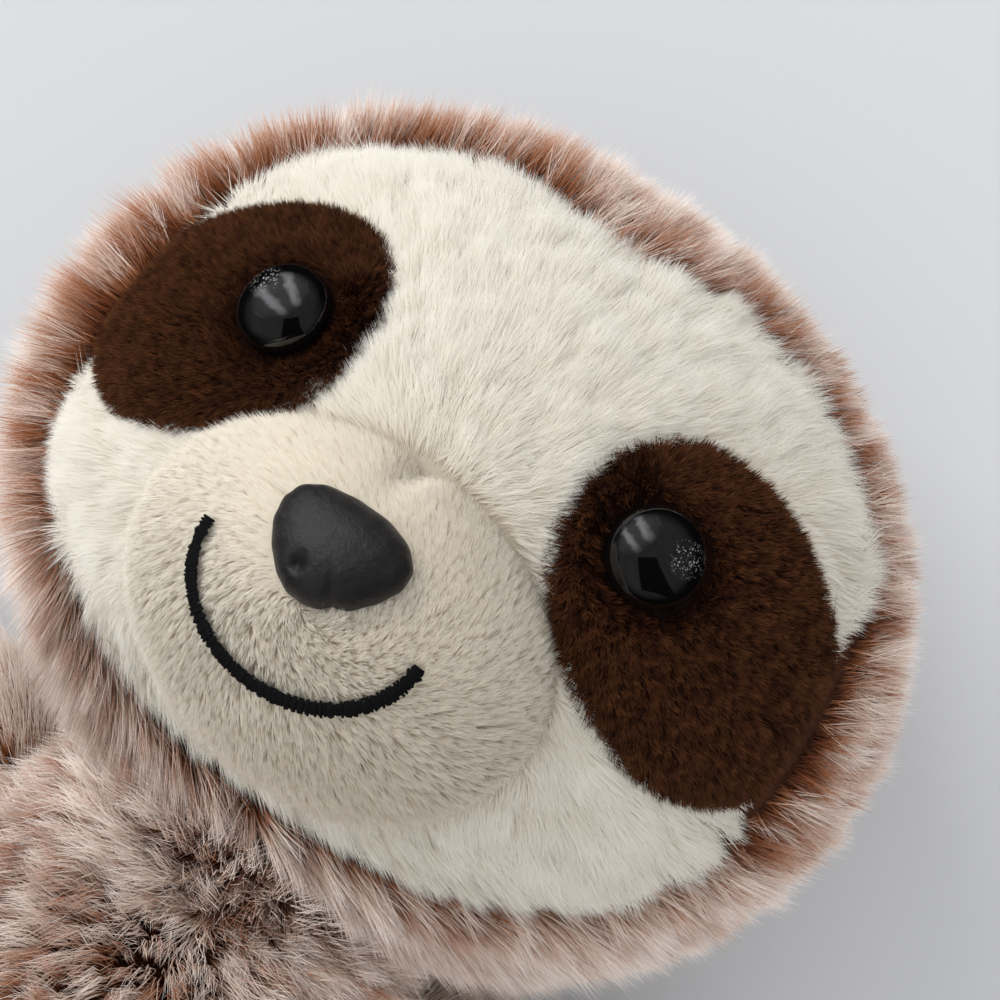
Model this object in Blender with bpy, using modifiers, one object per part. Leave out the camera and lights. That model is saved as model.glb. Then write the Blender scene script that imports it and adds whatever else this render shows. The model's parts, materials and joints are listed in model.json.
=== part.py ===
"""Plush sloth, lying on its back with its face up.

A stuffed toy as it is sewn: fur cloth panels over loose filling, a pale face
panel with two dark eye patches let into it, a domed muzzle with a padded nose
and an embroidered smile, safety eyes held by lock washers, a pellet bag in the
seat, and long arms and legs that end in three stuffed claws each. The head,
arms and legs turn at their seams about round roots that sit in the body.

Metres, +Z up, +Y towards the crown, X across. The table is the plane Z = 0.
"""

import math

import bmesh
import bpy
from mathutils import Matrix, Vector
from mathutils.geometry import interpolate_bezier

# Cloth and clearances
FUR_THICKNESS = 0.0045
VELBOA_THICKNESS = 0.0025
SEAM_GAP = 0.0003
FILLING_GAP = 0.0004
SOCKET_CLEARANCE = 0.0012
PRESS_DEPTH = 0.0005
CUT_OVERRUN = 0.006
SOCKET_SIDES = 16
SHARP_ANGLE = math.radians(40)

# Head, an egg lying on its back
HEAD_HALF_WIDTH = 0.067
HEAD_HALF_HEIGHT = 0.058
HEAD_HALF_DEPTH = 0.046
HEAD_SIDES = 24
HEAD_STATIONS = 12

# Pale face panel, which reaches out past the middles of the eye patches
FACE_MARGIN = 0.0177
FACE_HALF_HEIGHT = 0.0415
FACE_RISE = 0.002
FACE_DIP = 0.005
FACE_DIP_WIDTH = 0.012
FACE_ROUNDING_SHARE = 2.4
FACE_POINTS = 32

# Dark eye patches, ovals that lean down and out, with their middles beside the muzzle
PATCH_HALF_LENGTH = 0.0217
PATCH_HALF_WIDTH = 0.0163
PATCH_OFFSET = 0.0078
PATCH_RISE = 0.0067
PATCH_TILT = math.radians(-36)
PATCH_ROUNDING_SHARE = 2.2
PATCH_POINTS = 20

# Safety eyes, in and up from the middles of their patches, and their lock washers
EYE_INSET = 0.0087
EYE_LIFT = 0.0031
EYE_RADIUS = 0.0060
EYE_HEIGHT = 0.0046
EYE_RIM = 0.0010
EYE_SEAT = 0.0008
SHANK_RADIUS = 0.0023
SHANK_LENGTH = 0.0150
WASHER_RADIUS = 0.0062
WASHER_THICKNESS = 0.0014
WASHER_SETBACK = 0.0016
EYE_STEPS = 16
EYE_RINGS = 5

# Domed muzzle
MUZZLE_HALF_WIDTH = 0.0275
MUZZLE_HALF_HEIGHT = 0.0213
MUZZLE_HALF_DEPTH = 0.0220
MUZZLE_DROP = 0.0155
MUZZLE_FORWARD = 0.0355
MUZZLE_HEM_SHARE = -0.3
MUZZLE_SIDES = 18
MUZZLE_RINGS = 10

# Padded nose
NOSE_HALF_WIDTH = 0.0074
NOSE_HALF_HEIGHT = 0.0060
NOSE_HALF_DEPTH = 0.0044
NOSE_RISE = 0.0058
NOSE_TAPER_SHARE = 0.34
NOSE_SIDES = 16
NOSE_RINGS = 10

# Embroidered smile
SMILE_HALF_WIDTH = 0.0135
SMILE_DEPTH = 0.0108
SMILE_RISE = 0.0013
SMILE_THREAD_RADIUS = 0.0007
SMILE_POINTS = 17
THREAD_RESOLUTION = 1

# Body, a pear with a ball for the neck
BODY_HALF_WIDTH = 0.050
BODY_HALF_LENGTH = 0.066
BODY_HALF_DEPTH = 0.042
BODY_TAPER_SHARE = 0.12
BODY_SIDES = 20
BODY_STATIONS = 9
NECK_STATIONS = 4
NECK_RADIUS = 0.028
NECK_RISE = 0.004
NECK_TUCK = 0.014

# Pellet bag in the seat of the body
BAG_HALF_WIDTH = 0.026
BAG_HALF_LENGTH = 0.030
BAG_HALF_DEPTH = 0.013
BAG_DROP = 0.016
BAG_SIDES = 16
BAG_RINGS = 8

# Arms
SHOULDER_ANGLE = math.radians(34)
SHOULDER_PROUD = 0.006
SHOULDER_DROP = 0.005
ARM_RADIUS = 0.0180
ARM_REACH = 0.064
ARM_LENGTH = 0.118
ARM_RADIUS_SHARES = (0.86, 0.85, 0.84, 0.86, 0.93, 1.0)

# Legs
HIP_ANGLE = math.radians(-58)
HIP_PROUD = 0.008
HIP_DROP = 0.006
LEG_RADIUS = 0.0205
LEG_REACH = 0.034
LEG_LENGTH = 0.080
LEG_RADIUS_SHARES = (0.86, 0.85, 0.85, 0.88, 0.95, 1.0)

LIMB_SIDES = 12
LIMB_STATIONS = 5
LIMB_ROOT_RINGS = 3
LIMB_BEND_SHARES = ((0.55, -0.35), (0.92, 0.42))

# Claws, three to a hand or foot
CLAW_RADIUS = 0.0042
CLAW_LENGTH = 0.028
CLAW_SPREAD = 0.0095
CLAW_FAN = math.radians(14)
CLAW_DROOP_SHARE = 0.30
CLAW_ROOT_SHARE = 0.45
CLAW_STATIONS = 8
CLAW_RESOLUTION = 2
CLAW_RADIUS_SHARES = (1.0, 1.0, 0.96, 0.90, 0.82, 0.70, 0.52, 0.22)

# Places that follow from the sizes, with the middle of the body at Y = 0
HEAD_Z = HEAD_HALF_DEPTH - PRESS_DEPTH
BODY_Z = BODY_HALF_DEPTH - PRESS_DEPTH
NECK = Vector((0, BODY_HALF_LENGTH + NECK_RISE, (HEAD_Z + BODY_Z) / 2))
HEAD = Vector((0, NECK.y + HEAD_HALF_HEIGHT - NECK_TUCK, HEAD_Z))
HEAD_HALVES = Vector((HEAD_HALF_WIDTH, HEAD_HALF_HEIGHT, HEAD_HALF_DEPTH))
PATCH_OUT = MUZZLE_HALF_WIDTH + PATCH_OFFSET
FACE_HALF_WIDTH = PATCH_OUT + FACE_MARGIN
EYE_OUT = PATCH_OUT - EYE_INSET
EYE_RISE = PATCH_RISE + EYE_LIFT
MUZZLE = HEAD + Vector((0, -MUZZLE_DROP, MUZZLE_FORWARD))
MUZZLE_HALVES = Vector((MUZZLE_HALF_WIDTH, MUZZLE_HALF_HEIGHT, MUZZLE_HALF_DEPTH))
BAG = Vector((0, -BAG_DROP, FUR_THICKNESS + BAG_HALF_DEPTH))
BAG_HALVES = Vector((BAG_HALF_WIDTH, BAG_HALF_LENGTH, BAG_HALF_DEPTH))
SIDES = {"left": -1, "right": 1}

for old in list(bpy.data.objects):
    bpy.data.objects.remove(old, do_unlink=True)

parts = bpy.data.collections.new("plush_sloth")
cutters = bpy.data.collections.new("cutters")
bpy.context.scene.collection.children.link(parts)
bpy.context.scene.collection.children.link(cutters)


# Materials

def material(name, colour, roughness, metallic=0.0):
    made = bpy.data.materials.new(name)
    made.use_nodes = True
    shader = made.node_tree.nodes["Principled BSDF"]
    shader.inputs["Base Color"].default_value = (*colour, 1.0)
    shader.inputs["Roughness"].default_value = roughness
    shader.inputs["Metallic"].default_value = metallic
    return made


FROSTED_FUR = material("frosted_fur", (0.52, 0.36, 0.29), 0.95)
CREAM_PILE = material("cream_pile", (0.76, 0.72, 0.62), 0.95)
BROWN_VELBOA = material("brown_velboa", (0.045, 0.016, 0.008), 0.9)
CREAM_KNIT = material("cream_knit", (0.68, 0.63, 0.50), 0.95)
BLACK_SATIN = material("black_satin", (0.02, 0.018, 0.018), 0.55)
BLACK_THREAD = material("black_thread", (0.01, 0.01, 0.012), 0.6)
BLACK_PLASTIC = material("black_plastic", (0.006, 0.006, 0.006), 0.06)
WHITE_PLASTIC = material("white_plastic", (0.75, 0.75, 0.73), 0.4)
WHITE_FILLING = material("white_filling", (0.85, 0.85, 0.83), 1.0)
CALICO = material("calico", (0.78, 0.72, 0.60), 0.9)


# Pivots: one empty for the whole toy, and one on each joint's axis

toy = bpy.data.objects.new("toy", None)
parts.objects.link(toy)


def pivot(name, place):
    empty = bpy.data.objects.new(name, None)
    parts.objects.link(empty)
    empty.parent = toy
    empty.location = place
    return empty


def add(name, mesh, finish, under, place=None, turn=None, collection=parts):
    """Hangs a piece on a pivot. Its mesh is drawn in the toy's frame, or about its own place."""
    made = bpy.data.objects.new(name, mesh)
    collection.objects.link(made)
    made.parent = under
    made.location = (place or Vector()) - (Vector() if under is toy else under.location)
    if turn:
        made.rotation_mode = "QUATERNION"
        made.rotation_quaternion = turn
    if finish:
        mesh.materials.clear()
        mesh.materials.append(finish)
        mesh.shade_smooth()
        mesh.set_sharp_from_angle(angle=SHARP_ANGLE)
    else:
        made.hide_render = True
        made.display_type = "WIRE"
    return made


def cutter(name, mesh, place=None, turn=None):
    return add(name, mesh, None, toy, place, turn, cutters)


def mesh_from(bm, name):
    bmesh.ops.recalc_face_normals(bm, faces=bm.faces)
    mesh = bpy.data.meshes.new(name)
    bm.to_mesh(mesh)
    bm.free()
    return mesh


def cut(target, tool, operation="DIFFERENCE"):
    boolean = target.modifiers.new(tool.name, "BOOLEAN")
    boolean.operation = operation
    boolean.object = tool
    return target


# Forms

def ellipsoid_stations(centre, halves, count):
    """Rings down an egg from crown to chin, each (centre, half width, half depth)."""
    stations = []
    for step in range(count + 1):
        angle = math.pi * step / count
        ring = math.sin(angle)
        place = centre + Vector((0, halves.y * math.cos(angle), 0))
        stations.append((place, halves.x * ring, halves.z * ring))
    return stations


def neck_girth(y):
    return math.sqrt(max(NECK_RADIUS ** 2 - (y - NECK.y) ** 2, 0))


def pear_girth(y):
    """Half width and half depth of the body at a place along it."""
    along = y / BODY_HALF_LENGTH
    swell = math.sqrt(max(1 - along ** 2, 0))
    return BODY_HALF_WIDTH * swell * (1 - BODY_TAPER_SHARE * along), BODY_HALF_DEPTH * swell


def body_form(name):
    """Rings down the neck ball, and down the pear from where it is as deep as the ball."""
    meet = NECK.y
    while pear_girth(meet)[1] < neck_girth(meet):
        meet -= SEAM_GAP
    turn = math.acos((meet - NECK.y) / NECK_RADIUS)
    stations = []
    for step in range(NECK_STATIONS):
        y = NECK.y + NECK_RADIUS * math.cos(turn * step / NECK_STATIONS)
        stations.append((Vector((0, y, NECK.z)), neck_girth(y), neck_girth(y)))
    first = math.asin(meet / BODY_HALF_LENGTH)
    for step in range(BODY_STATIONS + 1):
        y = BODY_HALF_LENGTH * math.sin(first - (first + math.pi / 2) * step / BODY_STATIONS)
        stations.append((Vector((0, y, BODY_Z)), *pear_girth(y)))
    return loft(name, stations, BODY_SIDES)


def shares_at(shares, along):
    """The value of an evenly spaced list of shares at a place from 0 to 1."""
    place = along * (len(shares) - 1)
    low = min(int(place), len(shares) - 2)
    return shares[low] + (shares[low + 1] - shares[low]) * (place - low)


def limb_route(root, reach, length, radius):
    """Bezier points of a limb that leaves its root outwards and ends lying on the table.

    All four lie in one plane, which is the plane of the limb's seams too.
    """
    out = math.copysign(1, root.x)
    rest = radius - PRESS_DEPTH
    (near, near_run), (far, far_run) = LIMB_BEND_SHARES
    run = length - radius
    end = Vector((root.x + out * reach, root.y - run, rest))
    knee = Vector((root.x + out * reach * far, root.y - run * far_run, rest))
    pull = root + (knee - root) * near + (end - knee) * near_run
    return root, pull, knee, end


def limb_stations(route, radius, shares):
    """Rings along a limb: a ball round its root, then the tube that swells to the hand."""
    line = interpolate_bezier(*route, LIMB_STATIONS * LIMB_STATIONS)
    start = (line[1] - line[0]).normalized()
    points = [line[0] - start * radius] + line + [line[-1] + (line[-1] - line[-2]).normalized() * radius]
    runs = [0.0]
    for before, after in zip(points, points[1:]):
        runs.append(runs[-1] + (after - before).length)
    total = runs[-1]
    runs_wanted = [
        radius * (1 - math.cos(math.pi / 2 * step / LIMB_ROOT_RINGS)) for step in range(LIMB_ROOT_RINGS + 1)
    ]
    neck_run = radius * (1 + math.sqrt(1 - shares[0] ** 2))
    for step in range(LIMB_STATIONS + 1):
        runs_wanted.append(neck_run + (total - radius - neck_run) * step / LIMB_STATIONS)
    for step in range(1, LIMB_ROOT_RINGS + 1):
        runs_wanted.append(total - radius + radius * math.sin(math.pi / 2 * step / LIMB_ROOT_RINGS))
    stations = []
    for run in runs_wanted:
        index = min(max(i for i, r in enumerate(runs) if r <= run + SEAM_GAP / 1e6), len(points) - 2)
        part = (run - runs[index]) / (runs[index + 1] - runs[index])
        place = points[index].lerp(points[index + 1], part)
        if run < neck_run:
            girth = math.sqrt(max(radius ** 2 - (run - radius) ** 2, 0))
        else:
            girth = radius * shares_at(shares, min((run - neck_run) / (total - radius - neck_run), 1))
        front = max(run - (total - radius), 0) / radius
        girth *= math.sqrt(max(1 - front ** 2, 0))
        stations.append((place, girth, girth))
    return stations


def loft(name, stations, sides):
    """Skins a row of rings, closed at both ends."""
    bm = bmesh.new()
    rings = []
    last = len(stations) - 1
    for index, (centre, width, depth) in enumerate(stations):
        if index in (0, last):
            rings.append([bm.verts.new(centre)])
            continue
        along = (stations[index + 1][0] - stations[index - 1][0]).normalized()
        across = along.cross(Vector((0, 0, 1))).normalized()
        up = across.cross(along)
        angles = [math.tau * side / sides for side in range(sides)]
        rings.append([
            bm.verts.new(centre - across * (width * math.cos(a)) + up * (depth * math.sin(a)))
            for a in angles
        ])
    for ring, following in zip(rings, rings[1:]):
        for side in range(sides):
            after = (side + 1) % sides
            corners = [
                ring[side % len(ring)],
                ring[after % len(ring)],
                following[after % len(following)],
                following[side % len(following)],
            ]
            bm.faces.new(list(dict.fromkeys(corners)))
    bmesh.ops.triangulate(bm, faces=bm.faces)
    return mesh_from(bm, name)


def ball(name, centre, halves, sides, rings, hem_share=None):
    """A ball stretched to its three half sizes. A hem opens it below that share of its height."""
    bm = bmesh.new()
    bmesh.ops.create_uvsphere(bm, u_segments=sides, v_segments=rings, radius=1)
    if hem_share is not None:
        bmesh.ops.bisect_plane(
            bm,
            geom=bm.verts[:] + bm.edges[:] + bm.faces[:],
            plane_co=(0, 0, hem_share),
            plane_no=(0, 0, 1),
            clear_inner=True,
        )
    bmesh.ops.scale(bm, vec=halves, verts=bm.verts)
    bmesh.ops.translate(bm, vec=centre, verts=bm.verts)
    return mesh_from(bm, name)


def block(name, low, high):
    bm = bmesh.new()
    bmesh.ops.create_cube(bm, size=1)
    bmesh.ops.scale(bm, vec=high - low, verts=bm.verts)
    bmesh.ops.translate(bm, vec=(low + high) / 2, verts=bm.verts)
    return mesh_from(bm, name)


def seam_block(name, place, normal, reach):
    """The half of space on one side of a seam, half a seam gap away from it."""
    bm = bmesh.new()
    bmesh.ops.create_cube(bm, size=2 * reach)
    bmesh.ops.translate(bm, vec=(0, 0, reach + SEAM_GAP / 2), verts=bm.verts)
    turn = normal.to_track_quat("Z", "Y").to_matrix().to_4x4()
    bmesh.ops.transform(bm, matrix=Matrix.Translation(place) @ turn, verts=bm.verts)
    return cutter(name, mesh_from(bm, name))


def solidify(target, thickness):
    shell = target.modifiers.new("cloth", "SOLIDIFY")
    shell.thickness = thickness
    shell.offset = -1
    return target


def shrink(target, distance):
    """Moves a form's surface inwards, or outwards where the distance is negative."""
    offset = target.modifiers.new("offset", "DISPLACE")
    offset.strength = -distance
    offset.mid_level = 0
    return target


def prism(name, outline, low, high):
    """A flat outline drawn in X and Y and raised from one height to another."""
    curve = bpy.data.curves.new(name, "CURVE")
    curve.dimensions = "2D"
    curve.fill_mode = "BOTH"
    curve.extrude = (high - low) / 2
    spline = curve.splines.new("POLY")
    spline.points.add(len(outline) - 1)
    spline.use_cyclic_u = True
    for point, (x, y) in zip(spline.points, outline):
        point.co = (x, y, 0, 1)
    drawn = bpy.data.objects.new(name, curve)
    cutters.objects.link(drawn)
    bpy.context.view_layer.update()
    graph = bpy.context.evaluated_depsgraph_get()
    mesh = bpy.data.meshes.new_from_object(drawn.evaluated_get(graph))
    bpy.data.objects.remove(drawn)
    bm = bmesh.new()
    bm.from_mesh(mesh)
    bmesh.ops.remove_doubles(bm, verts=bm.verts, dist=SEAM_GAP / 10)
    bmesh.ops.translate(bm, vec=(0, 0, (low + high) / 2), verts=bm.verts)
    return cutter(name, mesh_from(bm, name))


def profile_mesh(name, profile):
    """A chain of (radius, height) points, drawn down the outer side of a turned piece."""
    mesh = bpy.data.meshes.new(name)
    corners = [(radius, 0, height) for radius, height in profile]
    links = [(index, index + 1) for index in range(len(corners) - 1)]
    mesh.from_pydata(corners, links, [])
    return mesh


def spin(target, steps):
    screw = target.modifiers.new("turn", "SCREW")
    screw.steps = steps
    screw.render_steps = steps
    screw.use_merge_vertices = True
    screw.merge_threshold = SEAM_GAP / 10
    return target


def tube(name, stations, resolution):
    """A round cord through (place, radius) pairs, as a mesh with welded caps."""
    widest = max(radius for place, radius in stations)
    curve = bpy.data.curves.new(name, "CURVE")
    curve.dimensions = "3D"
    curve.bevel_depth = widest
    curve.bevel_resolution = resolution
    curve.use_fill_caps = True
    spline = curve.splines.new("POLY")
    spline.points.add(len(stations) - 1)
    for point, (place, radius) in zip(spline.points, stations):
        point.co = (*place, 1)
        point.radius = radius / widest
    drawn = bpy.data.objects.new(name, curve)
    cutters.objects.link(drawn)
    bpy.context.view_layer.update()
    graph = bpy.context.evaluated_depsgraph_get()
    mesh = bpy.data.meshes.new_from_object(drawn.evaluated_get(graph))
    bpy.data.objects.remove(drawn)
    bm = bmesh.new()
    bm.from_mesh(mesh)
    bmesh.ops.remove_doubles(bm, verts=bm.verts, dist=SEAM_GAP / 10)
    return mesh_from(bm, name)


# Pivots of the head, arms and legs

def seam_place(angle, proud, drop, side):
    """A limb's pivot: a point of the body's outline, moved out along its normal."""
    taper = 1 - BODY_TAPER_SHARE * math.sin(angle)
    on_body = Vector((BODY_HALF_WIDTH * math.cos(angle) * taper, BODY_HALF_LENGTH * math.sin(angle)))
    normal = Vector((on_body.x / BODY_HALF_WIDTH ** 2, on_body.y / BODY_HALF_LENGTH ** 2)).normalized()
    place = on_body + normal * proud
    return Vector((side * place.x, place.y, BODY_Z - drop))


neck = pivot("neck_pivot", NECK)

# Cutters that more than one piece needs

every = HEAD_HALF_HEIGHT + BODY_HALF_LENGTH + LEG_LENGTH + ARM_LENGTH
table = cutter("table", block(
    "table",
    Vector((-every, -every, -CUT_OVERRUN)),
    Vector((every, every, 0)),
))
neck_socket_radius = NECK_RADIUS + SOCKET_CLEARANCE
neck_socket = cutter("neck_socket", ball(
    "neck_socket", NECK, Vector([neck_socket_radius] * 3), SOCKET_SIDES, SOCKET_SIDES // 2
))
muzzle_room = cutter("muzzle_room", ball(
    "muzzle_room",
    MUZZLE,
    MUZZLE_HALVES + Vector([SEAM_GAP] * 3),
    MUZZLE_SIDES,
    MUZZLE_RINGS,
))


def face_outline(grow):
    """A rounded square that dips at the middle of its top edge."""
    outline = []
    for step in range(FACE_POINTS):
        angle = math.tau * step / FACE_POINTS
        power = 2 / FACE_ROUNDING_SHARE
        c, s = math.cos(angle), math.sin(angle)
        x = (FACE_HALF_WIDTH + grow) * math.copysign(abs(c) ** power, c)
        y = (FACE_HALF_HEIGHT + grow) * math.copysign(abs(s) ** power, s)
        if s > 0:
            y -= FACE_DIP * math.exp(-((x / FACE_DIP_WIDTH) ** 2))
        outline.append((x, HEAD.y + FACE_RISE + y))
    return outline


def patch_outline(side, grow):
    """A leaning oval."""
    outline = []
    for step in range(PATCH_POINTS):
        angle = math.tau * step / PATCH_POINTS
        power = 2 / PATCH_ROUNDING_SHARE
        c, s = math.cos(angle), math.sin(angle)
        long = (PATCH_HALF_LENGTH + grow) * math.copysign(abs(c) ** power, c)
        wide = (PATCH_HALF_WIDTH + grow) * math.copysign(abs(s) ** power, s)
        x = PATCH_OUT + long * math.cos(PATCH_TILT) - wide * math.sin(PATCH_TILT)
        y = PATCH_RISE + long * math.sin(PATCH_TILT) + wide * math.cos(PATCH_TILT)
        outline.append((side * x, HEAD.y + y))
    return outline


def head_prism(name, outline):
    """A cutter over the front of the head, from its widest ring to past its face."""
    return prism(name, outline, HEAD.z, HEAD.z + HEAD_HALF_DEPTH + CUT_OVERRUN)


# Head covers

def head_form(name):
    return loft(name, ellipsoid_stations(HEAD, HEAD_HALVES, HEAD_STATIONS), HEAD_SIDES)


head_inside = cutter("head_inside", head_form("head_inside"))
shrink(head_inside, FUR_THICKNESS)


face_hole = head_prism("face_hole", face_outline(SEAM_GAP / 2))
face_blank = head_prism("face_blank", face_outline(-SEAM_GAP / 2))
patch_holes = []
for hand, side in SIDES.items():
    fur = add(f"head_fur_{hand}", head_form("fur"), FROSTED_FUR, neck)
    half = seam_block(f"head_half_{hand}", HEAD, Vector((side, 0, 0)), 2 * HEAD_HALF_WIDTH)
    cut(fur, half, "INTERSECT")
    cut(fur, head_inside)
    cut(fur, face_hole)
    cut(fur, neck_socket)
    cut(fur, table)

    patch = add(f"eye_patch_{hand}", head_form("patch"), BROWN_VELBOA, neck)
    cut(patch, head_prism(f"patch_blank_{hand}", patch_outline(side, -SEAM_GAP / 2)), "INTERSECT")
    cut(patch, face_blank, "INTERSECT")
    cut(patch, head_inside)
    patch_holes.append(head_prism(f"patch_hole_{hand}", patch_outline(side, SEAM_GAP / 2)))

face = add("face_panel", head_form("face"), CREAM_PILE, neck)
cut(face, face_blank, "INTERSECT")
cut(face, head_inside)
for hole in patch_holes:
    cut(face, hole)
cut(face, muzzle_room)

filling_depth = FUR_THICKNESS + FILLING_GAP
head_filling = add("head_filling", head_form("filling"), WHITE_FILLING, neck)
shrink(head_filling, filling_depth)
cut(head_filling, muzzle_room)
cut(head_filling, neck_socket)


# Eyes: a domed button with a shank, through the patch to a lock washer

def dome_profile(radius, height, rim, seat, shank, length):
    """From the top of the dome over its rim, under it, and down the shank."""
    profile = []
    for step in range(EYE_RINGS + 1):
        angle = math.pi / 2 * step / EYE_RINGS
        profile.append((radius * math.sin(angle), rim - seat + (height - rim) * math.cos(angle)))
    return profile + [(radius, -seat), (shank, -seat), (shank, -length), (0, -length)]


def ring_profile(inner, outer, top, thickness):
    return [(inner, top), (outer, top), (outer, top - thickness), (inner, top - thickness), (inner, top)]


washer_top = -FUR_THICKNESS - WASHER_SETBACK
washer_hole = SHANK_RADIUS + SEAM_GAP
for hand, side in SIDES.items():
    x, y = side * EYE_OUT, EYE_RISE
    z = HEAD_HALF_DEPTH * math.sqrt(1 - (x / HEAD_HALF_WIDTH) ** 2 - (y / HEAD_HALF_HEIGHT) ** 2)
    place = HEAD + Vector((x, y, z))
    outward = Vector((x / HEAD_HALF_WIDTH ** 2, y / HEAD_HALF_HEIGHT ** 2, z / HEAD_HALF_DEPTH ** 2))
    turn = outward.to_track_quat("Z", "Y")

    shape = dome_profile(EYE_RADIUS, EYE_HEIGHT, EYE_RIM, EYE_SEAT, SHANK_RADIUS, SHANK_LENGTH)
    eye = add(f"eye_{hand}", profile_mesh("eye", shape), BLACK_PLASTIC, neck, place, turn)
    spin(eye, EYE_STEPS)
    shape = ring_profile(washer_hole, WASHER_RADIUS, washer_top, WASHER_THICKNESS)
    washer = add(f"eye_washer_{hand}", profile_mesh("washer", shape), WHITE_PLASTIC, neck, place, turn)
    spin(washer, EYE_STEPS)

    shape = dome_profile(
        EYE_RADIUS + SEAM_GAP,
        EYE_HEIGHT + CUT_OVERRUN,
        EYE_RIM,
        EYE_SEAT + SEAM_GAP,
        SHANK_RADIUS + SEAM_GAP,
        SHANK_LENGTH,
    )
    hole = cutter(f"eye_hole_{hand}", profile_mesh("eye_hole", shape), place, turn)
    spin(hole, EYE_STEPS)
    cut(bpy.data.objects[f"eye_patch_{hand}"], hole)
    pocket_end = -SHANK_LENGTH - FILLING_GAP
    pocket_radius = WASHER_RADIUS + FILLING_GAP
    shape = [(0, 0), (pocket_radius, 0), (pocket_radius, pocket_end), (0, pocket_end)]
    pocket = cutter(f"washer_pocket_{hand}", profile_mesh("washer_pocket", shape), place, turn)
    spin(pocket, EYE_STEPS)
    cut(head_filling, pocket)


# Muzzle, nose and smile

muzzle = add("muzzle_panel", ball(
    "muzzle", MUZZLE, MUZZLE_HALVES, MUZZLE_SIDES, MUZZLE_RINGS, MUZZLE_HEM_SHARE
), CREAM_KNIT, neck)
solidify(muzzle, VELBOA_THICKNESS)
muzzle_filling = add("muzzle_filling", ball(
    "muzzle_filling", MUZZLE, MUZZLE_HALVES, MUZZLE_SIDES, MUZZLE_RINGS
), WHITE_FILLING, neck)
shrink(muzzle_filling, VELBOA_THICKNESS + FILLING_GAP)


def on_muzzle(x, y, lift):
    """A point a lift above the muzzle's surface, at a place across and up from its middle."""
    wide, high, deep = MUZZLE_HALVES + Vector([lift] * 3)
    return MUZZLE + Vector((x, y, deep * math.sqrt(1 - (x / wide) ** 2 - (y / high) ** 2)))


def upright(outward):
    """The turn that points Z outward, X across the toy and Y up its face."""
    across = Vector((outward.z, 0, -outward.x)).normalized()
    out = outward.normalized()
    return Matrix((across, out.cross(across), out)).transposed().to_quaternion()


# The nose is a shield that widens towards its top
nose_mesh = ball("nose", Vector(), Vector((1, 1, 1)), NOSE_SIDES, NOSE_RINGS)
for vertex in nose_mesh.vertices:
    spread = 1 + NOSE_TAPER_SHARE * vertex.co.y
    vertex.co.x *= NOSE_HALF_WIDTH * spread
    vertex.co.y *= NOSE_HALF_HEIGHT
    vertex.co.z *= NOSE_HALF_DEPTH
nose_place = on_muzzle(0, NOSE_RISE, 0)
nose_normal = Vector((
    0,
    NOSE_RISE / MUZZLE_HALF_HEIGHT ** 2,
    (nose_place.z - MUZZLE.z) / MUZZLE_HALF_DEPTH ** 2,
))
nose = add("nose_pad", nose_mesh, BLACK_SATIN, neck, nose_place, upright(nose_normal))
cut(nose, muzzle_room)

smile_line = []
for step in range(SMILE_POINTS):
    angle = math.pi * step / (SMILE_POINTS - 1)
    x = -SMILE_HALF_WIDTH * math.cos(angle)
    y = SMILE_RISE - SMILE_DEPTH * math.sin(angle)
    smile_line.append((on_muzzle(x, y, SMILE_THREAD_RADIUS + SEAM_GAP), SMILE_THREAD_RADIUS))
add("smile_embroidery", tube("smile", smile_line, THREAD_RESOLUTION), BLACK_THREAD, neck)


# Body covers, filling and pellet bag

body_inside = cutter("body_inside", body_form("body_inside"))
shrink(body_inside, FUR_THICKNESS)
body_pieces = []
for name, up in (("body_front", 1), ("body_back", -1)):
    cover = add(name, body_form(name), FROSTED_FUR, toy)
    middle = Vector((0, 0, BODY_Z))
    half = seam_block(f"{name}_half", middle, Vector((0, 0, up)), 2 * BODY_HALF_LENGTH)
    cut(cover, half, "INTERSECT")
    cut(cover, body_inside)
    cut(cover, table)
    body_pieces.append(cover)

body_filling = add("body_filling", body_form("filling"), WHITE_FILLING, toy)
shrink(body_filling, filling_depth)
body_pieces.append(body_filling)
bag = add("pellet_bag", ball("bag", BAG, BAG_HALVES, BAG_SIDES, BAG_RINGS), CALICO, toy)
bag_room_halves = BAG_HALVES + Vector([FILLING_GAP] * 3)
cut(body_filling, cutter("bag_room", ball("bag_room", BAG, bag_room_halves, BAG_SIDES, BAG_RINGS)))
bag_limit = cutter("bag_limit", body_form("bag_limit"))
shrink(bag_limit, filling_depth)
cut(bag, bag_limit, "INTERSECT")


# Arms and legs

def claw_stations(root, heading, droop):
    """Rings along a claw that curves down towards the table."""
    tip = root + heading * CLAW_LENGTH + Vector((0, 0, -droop))
    bend = root + heading * (CLAW_LENGTH / 2)
    line = interpolate_bezier(root, bend, bend.lerp(tip, 1 / 2), tip, CLAW_STATIONS)
    return [(place, CLAW_RADIUS * share) for place, share in zip(line, CLAW_RADIUS_SHARES)]


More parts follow.
